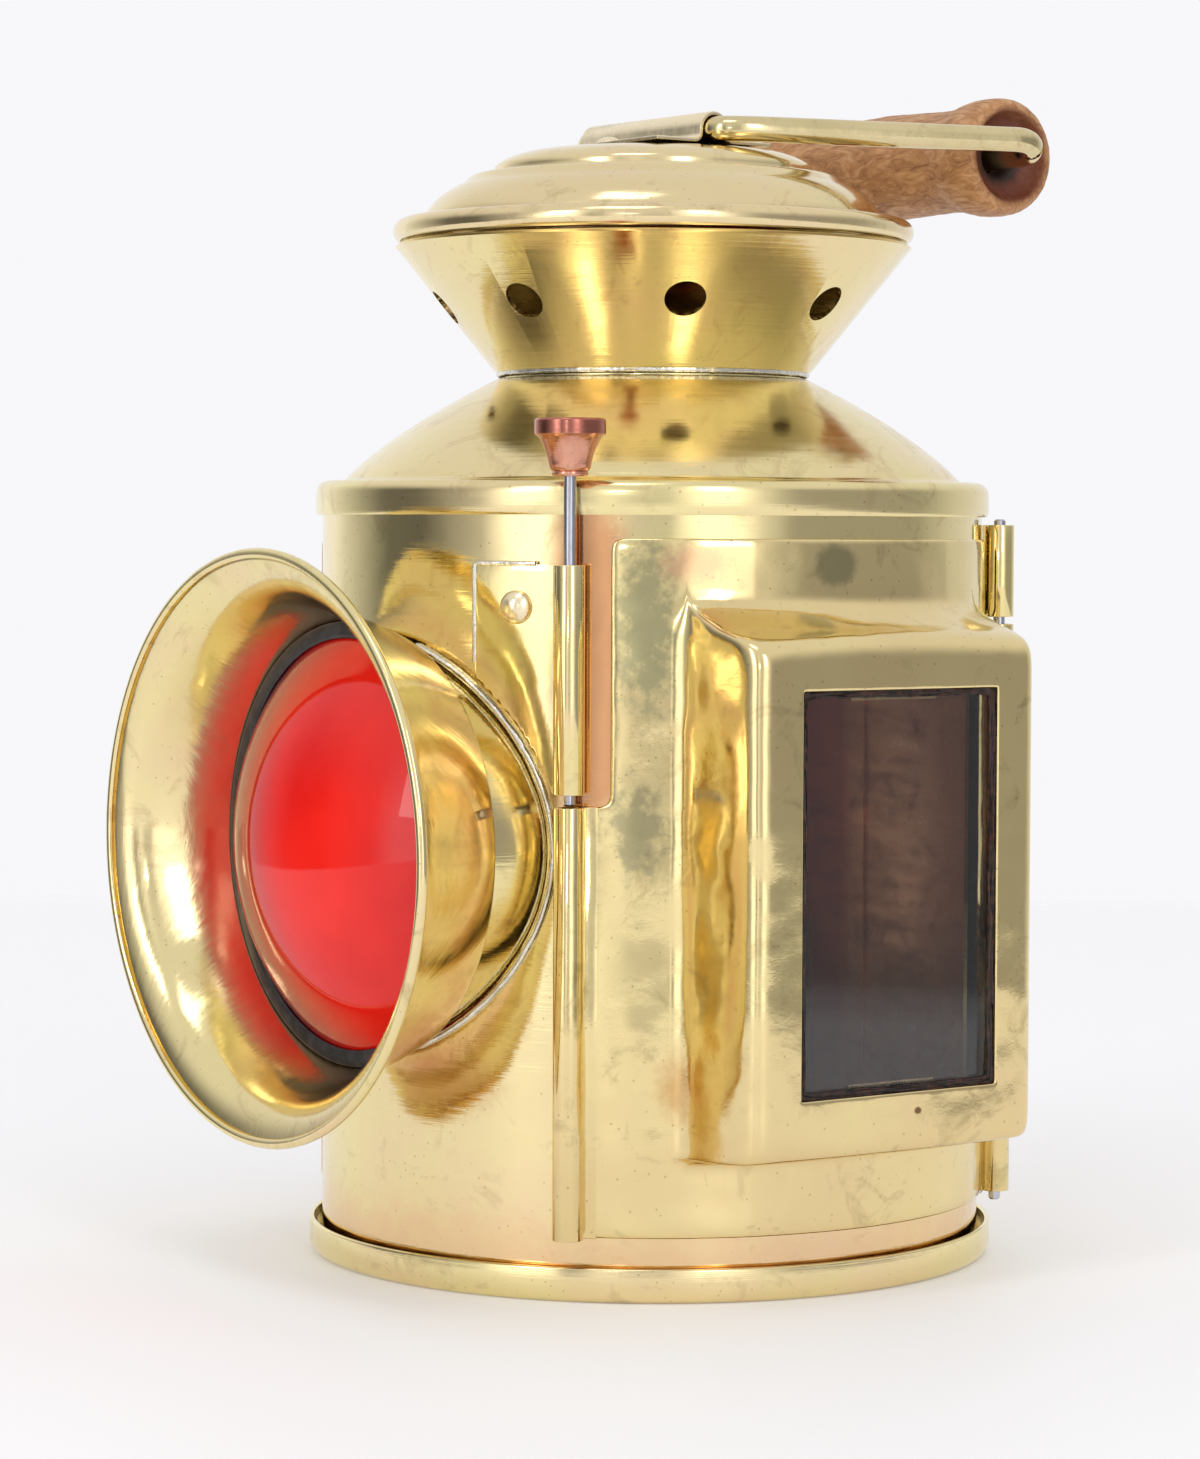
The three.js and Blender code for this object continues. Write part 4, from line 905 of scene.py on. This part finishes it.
def pane(name, side, body, cad_node):
    """One window: its glass, and the frame of sealant that is pressed out round it."""
    low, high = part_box(cad_node)
    bpy.ops.object.select_all(action="DESELECT")
    bpy.ops.mesh.primitive_cube_add(size=1, location=(low + high) / 2)
    glass = bpy.context.object
    glass.scale = high - low
    glass.name = name
    use(glass, "BEVEL", width=0.00025, segments=2)
    settle(glass, clear, body, "clear_glass", cad_node)

    middle = ((low + high) / 2).z
    bpy.ops.object.select_all(action="DESELECT")
    bpy.ops.mesh.primitive_plane_add(size=1, location=(side * (BOX_FRONT - 0.0011), 0, middle),
                                     rotation=(0, math.pi / 2, 0))
    bed = bpy.context.object
    bed.scale = (WINDOW_HIGH - WINDOW_LOW + 0.0004, WINDOW_HALF * 2 + 0.0004, 1)
    bpy.ops.object.transform_apply(location=True, rotation=True, scale=True)
    begin(name + "_sealant")
    bpy.ops.mesh.inset(thickness=0.0016, depth=0)
    bpy.ops.mesh.delete(type="FACE")
    bpy.ops.mesh.select_all(action="SELECT")
    bpy.ops.mesh.subdivide(number_cuts=24)
    bpy.ops.object.mode_set(mode="OBJECT")
    sheet_wall(bed, 0.0005, offset=0)
    lumpy(bed, 0.0004, 21)
    settle(bed, sealant, body, "rubber")


pane("door_pane", 1, "door", "door_glass")
pane("fixed_pane", -1, "lantern", "fixed_glass")
clip_brass = metal("clip_brass", (0.45, 0.32, 0.15), (0.38, 0.22, 0.12), BROWN, (300, 300, 300), 0.3,
                   spread=60)
for name in ("door_clip_bottom", "door_clip_top", "fixed_clip_bottom", "fixed_clip_top"):
    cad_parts[name].data.materials.clear()
    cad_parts[name].data.materials.append(clip_brass)

# ------------------------------------------------------------------ latch tab
# A strip is rolled round the rod at one edge, and riveted and soldered to the body beside the hood.
TAB_LOW, TAB_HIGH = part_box("latch_tab")[0].z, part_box("latch_tab")[1].z


def leaf(name, first, last, low, high, inner=0.0003, thickness=0.0009):
    """A piece of curved sheet that lies on the body between two azimuths."""
    bpy.ops.object.select_all(action="DESELECT")
    bpy.ops.mesh.primitive_grid_add(x_subdivisions=30, y_subdivisions=24, size=1)
    piece = bpy.context.object
    piece.name = name
    radius = body_radius + inner + thickness
    for vertex in piece.data.vertices:
        angle = math.radians(first + (last - first) * (vertex.co.x + 0.5))
        vertex.co = (radius * math.sin(angle), -radius * math.cos(angle),
                     low + (high - low) * (vertex.co.y + 0.5))
    middle = math.radians((first + last) / 2)
    face_out(piece, (radius * math.sin(middle), -radius * math.cos(middle), (low + high) / 2),
             (math.sin(middle), -math.cos(middle), 0))
    sheet_wall(piece, thickness)
    return piece


latch_leaf = leaf("latch_tab_sheet", 23.6, LATCH - 1.6, TAB_LOW, TAB_HIGH)
around_collar = 2 * COLLAR + 0.0065
cut(latch_leaf, cutter("bar", (0, -body_radius, LENS_HEIGHT), (around_collar, around_collar, 0.06),
                       math.pi / 2))
soften(latch_leaf, 0.0003, 60)
latch_tab = join(latch_leaf, rolled_edge("latch_tab_roll", LATCH, -1, TAB_LOW, TAB_HIGH, reach=0.0040))
tab_brass = metal("tab_brass", (0.84, 0.71, 0.34), PINK, BROWN, (160, 160, 60), 0.09, wear=0.6, dents=0.12,
                  spread=36)
settle(latch_tab, tab_brass, "lantern", "brass", "latch_tab", smooth=50)
TAB_RADIUS = body_radius + 0.0009
edge_line = [on_round(23.4, 0.1265 + 0.0192 * i / 16, TAB_RADIUS) for i in range(17)]
edge_line += [on_round(23.4 + 11 * i / 12, TAB_HIGH + 0.0002, TAB_RADIUS) for i in range(13)]
bead_line("tab_solder", edge_line, 0.0006, 17)


def side_rivet(name, azimuth, height, cad_node):
    """A rivet through a tab and the body."""
    angle = math.radians(azimuth)
    outward = Vector((math.sin(angle), -math.cos(angle), 0))
    place = outward * (body_radius + 0.00125) + Vector((0, 0, height))
    rivet(name, place, outward, 0.0035, 0.0021, cad_node)


side_rivet("latch_rivet", 31, 0.1377, "latch_tab_rivet")

# ------------------------------------------------------------------ hinge
# The same roll at the back holds the hinge pin. The leaf is soldered and riveted to the body.
TAB_LOW, TAB_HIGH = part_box("hinge_tab")[0].z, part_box("hinge_tab")[1].z
hinge_leaf = leaf("hinge_tab_sheet", HINGE + 1.6, 157, TAB_LOW, TAB_HIGH)
hinge_tab = join(hinge_leaf, rolled_edge("hinge_tab_roll", HINGE, 1, TAB_LOW, TAB_HIGH, reach=0.0040))
settle(hinge_tab, tab_brass, "lantern", "brass", "hinge_tab", smooth=50)
side_rivet("hinge_rivet", 150, 0.1446, "hinge_tab_rivet")

wire_steel = metal("wire_steel", (0.56, 0.56, 0.62), (0.44, 0.43, 0.50), (0.14, 0.10, 0.08), (500, 500, 90),
                   0.13, dents=0.05, spread=120)


def rod(name, azimuth, low, high, body, cad_node):
    """A straight steel wire with its ends filed round."""
    outline = [(0, low), (0.0009, low), (0.00125, low + 0.00035), (0.00125, high - 0.00035),
               (0.0009, high), (0, high)]
    settle(spun(name, outline, steps=32, at=on_round(azimuth, 0, RING)), wire_steel, body, "steel", cad_node)


rod("hinge_wire", HINGE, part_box("hinge_pin")[0].z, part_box("hinge_pin")[1].z, "lantern", "hinge_pin")

# ------------------------------------------------------------------ back seam
# The rolled sheet's ends lap each other at the back, and a second strip backs the joint inside.
seam_low, SEAM_HIGH, LAP = body_bottom + 0.0068, 0.1556, 0.0006
lap = leaf("lap_outside", 188.6, 193.8, seam_low, SEAM_HIGH, inner=-0.0001, thickness=LAP)
settle(lap, rolled_brass, "lantern", "brass", smooth=50)
backing = leaf("lap_inside", 188.8, 194.0, seam_low, SEAM_HIGH, inner=-SHEET - 0.0007, thickness=LAP)
settle(backing, inner_brass, "lantern", "brass", smooth=50)

# ------------------------------------------------------------------ latch pin
# A steel wire drops into the rolls and locks the door. It is lifted by its turned copper knob.
rod("latch_wire", LATCH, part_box("latch_rod")[0].z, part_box("latch_rod")[1].z - 0.0004,
    "latch_pin", "latch_rod")
knob_low, knob_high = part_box("latch_knob")
place = on_round(LATCH, knob_low.z, RING)
tall = knob_high.z - knob_low.z
rim = (knob_high.x - knob_low.x) / 2
ROUNDED = 0.0007
outline = [(0.0013, 0.0040), (0.0013, 0.0002), (0.0016, 0), (0.0033, 0), (0.0036, 0.0003), (0.0036, 0.0007),
           (0.0034, 0.0010), (0.0038, 0.0012), (0.0041, 0.0018)]
outline += curve((0.0042, 0.0024), (0.0046, 0.0050), (0.0062, 0.0076), 8)
outline += [(0.0066, 0.0079), (rim, 0.0083), (rim, tall - ROUNDED)]
outline += arc((rim - ROUNDED, tall - ROUNDED), ROUNDED, 15, 90, 4)
outline += [(0.0052, tall), (0.0048, tall - 0.0002), (0, tall - 0.0002)]
knob = spun("knob", outline, steps=96, at=place)
knob_copper = metal("knob_copper", (0.74, 0.38, 0.26), (0.58, 0.22, 0.15), (0.16, 0.06, 0.04), (60, 60, 2600),
                    0.17, wear=0.9, dents=0.03, spread=150, stains=0.6)
patch(knob_copper, (0.40, 0.13, 0.10), place + Vector((0, 0, 0.0098)), (0.02, 0.02, 0.0016), 0.8, 0.2, 0.1)
settle(knob, knob_copper, "latch_pin", "copper", "latch_knob", smooth=45)

# ------------------------------------------------------------------ candle
# Inside, a spun tray stands on the pan and carries a glass jar with a part-burnt candle.
tray_low, tray_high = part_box("candle_tray")
TRAY = 0.038
tray_floor = tray_high.z - 0.004
outline = [(0, tray_floor), (TRAY - 0.0022, tray_floor)]
outline += curve((TRAY - 0.0018, tray_floor), (TRAY - 0.001, tray_floor),
                 (TRAY - 0.0008, tray_high.z - 0.001), 5)
outline += [(TRAY - 0.0004, tray_high.z), (TRAY + 0.0002, tray_high.z - 0.001), (tray_high.x, tray_low.z)]
tray = spun("tray", outline, steps=96)
face_out(tray, (0, 0, tray_high.z), (0, 0, 1))
sheet_wall(tray, STRIP)
settle(tray, clip_brass, "lantern", "brass", "candle_tray", smooth=45)

jar_low, jar_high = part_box("candle_jar")
jar_radius, WALL = jar_high.x, 0.0024
outline = [(0, jar_low.z)] + arc((jar_radius - 0.002, jar_low.z + 0.002), 0.002, -90, 0, 5)
outline += arc((jar_radius - WALL / 2, jar_high.z - WALL / 2), WALL / 2, 0, 180, 8)
outline += arc((jar_radius - WALL - 0.003, jar_low.z + 0.007), 0.003, 0, -90, 5) + [(0, jar_low.z + 0.004)]
jar = spun("jar", outline, steps=120)
settle(jar, clear, "candle", "clear_glass", "candle_jar", smooth=40)

wax_low, wax_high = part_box("candle")
wax_radius = wax_high.x
outline = [(0, wax_low.z), (wax_radius - 0.0005, wax_low.z), (wax_radius, wax_low.z + 0.0005)]
outline += arc((wax_radius - 0.0022, wax_high.z - 0.0022), 0.0022, 0, 110, 6)
outline += curve((wax_radius - 0.0045, wax_high.z - 0.0008), (wax_radius - 0.010, wax_high.z - 0.0045),
                 (0.0020, wax_high.z - 0.0046), 9) + [(0, wax_high.z - 0.0044)]
candle = spun("wax", outline, steps=96)
lumpy(candle, 0.00025, 2, 2)
tallow, shader, link = new_material("wax", {
    "Subsurface Weight": 0.4, "Subsurface Radius": (0.008, 0.005, 0.003), "Roughness": 0.42})
bloom = noise(tallow, node(tallow, "ShaderNodeTexCoord").outputs["Object"], 90, 5)
link(ramp(tallow, bloom, (0.35, (0.72, 0.66, 0.52)), (0.7, (0.84, 0.80, 0.68))), shader.inputs["Base Color"])
settle(candle, tallow, "candle", "wax", "candle", smooth=50)

wick_low, wick_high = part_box("wick")
outline = [(0, wick_low.z), (0.0008, wick_low.z + 0.0002)]
outline += [(0.0009 + 0.00012 * (i % 2), wick_low.z + 0.001 * i) for i in range(1, 14)]
wick = spun("cotton_wick", outline + [(0.0004, wick_high.z), (0, wick_high.z)], steps=12)
charred, shader, link = new_material("charred_cotton", {"Roughness": 0.9})
fibre = noise(charred, node(charred, "ShaderNodeTexCoord").outputs["Object"], 900, 5)
link(ramp(charred, fibre, (0.4, (0.02, 0.015, 0.012)), (0.7, (0.16, 0.13, 0.10))),
     shader.inputs["Base Color"])
settle(wick, charred, "candle", "cotton", "wick", smooth=70)

# ------------------------------------------------------------------ end
size = {"cad": cad_box, "visual": [list(corner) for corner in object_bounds()]}
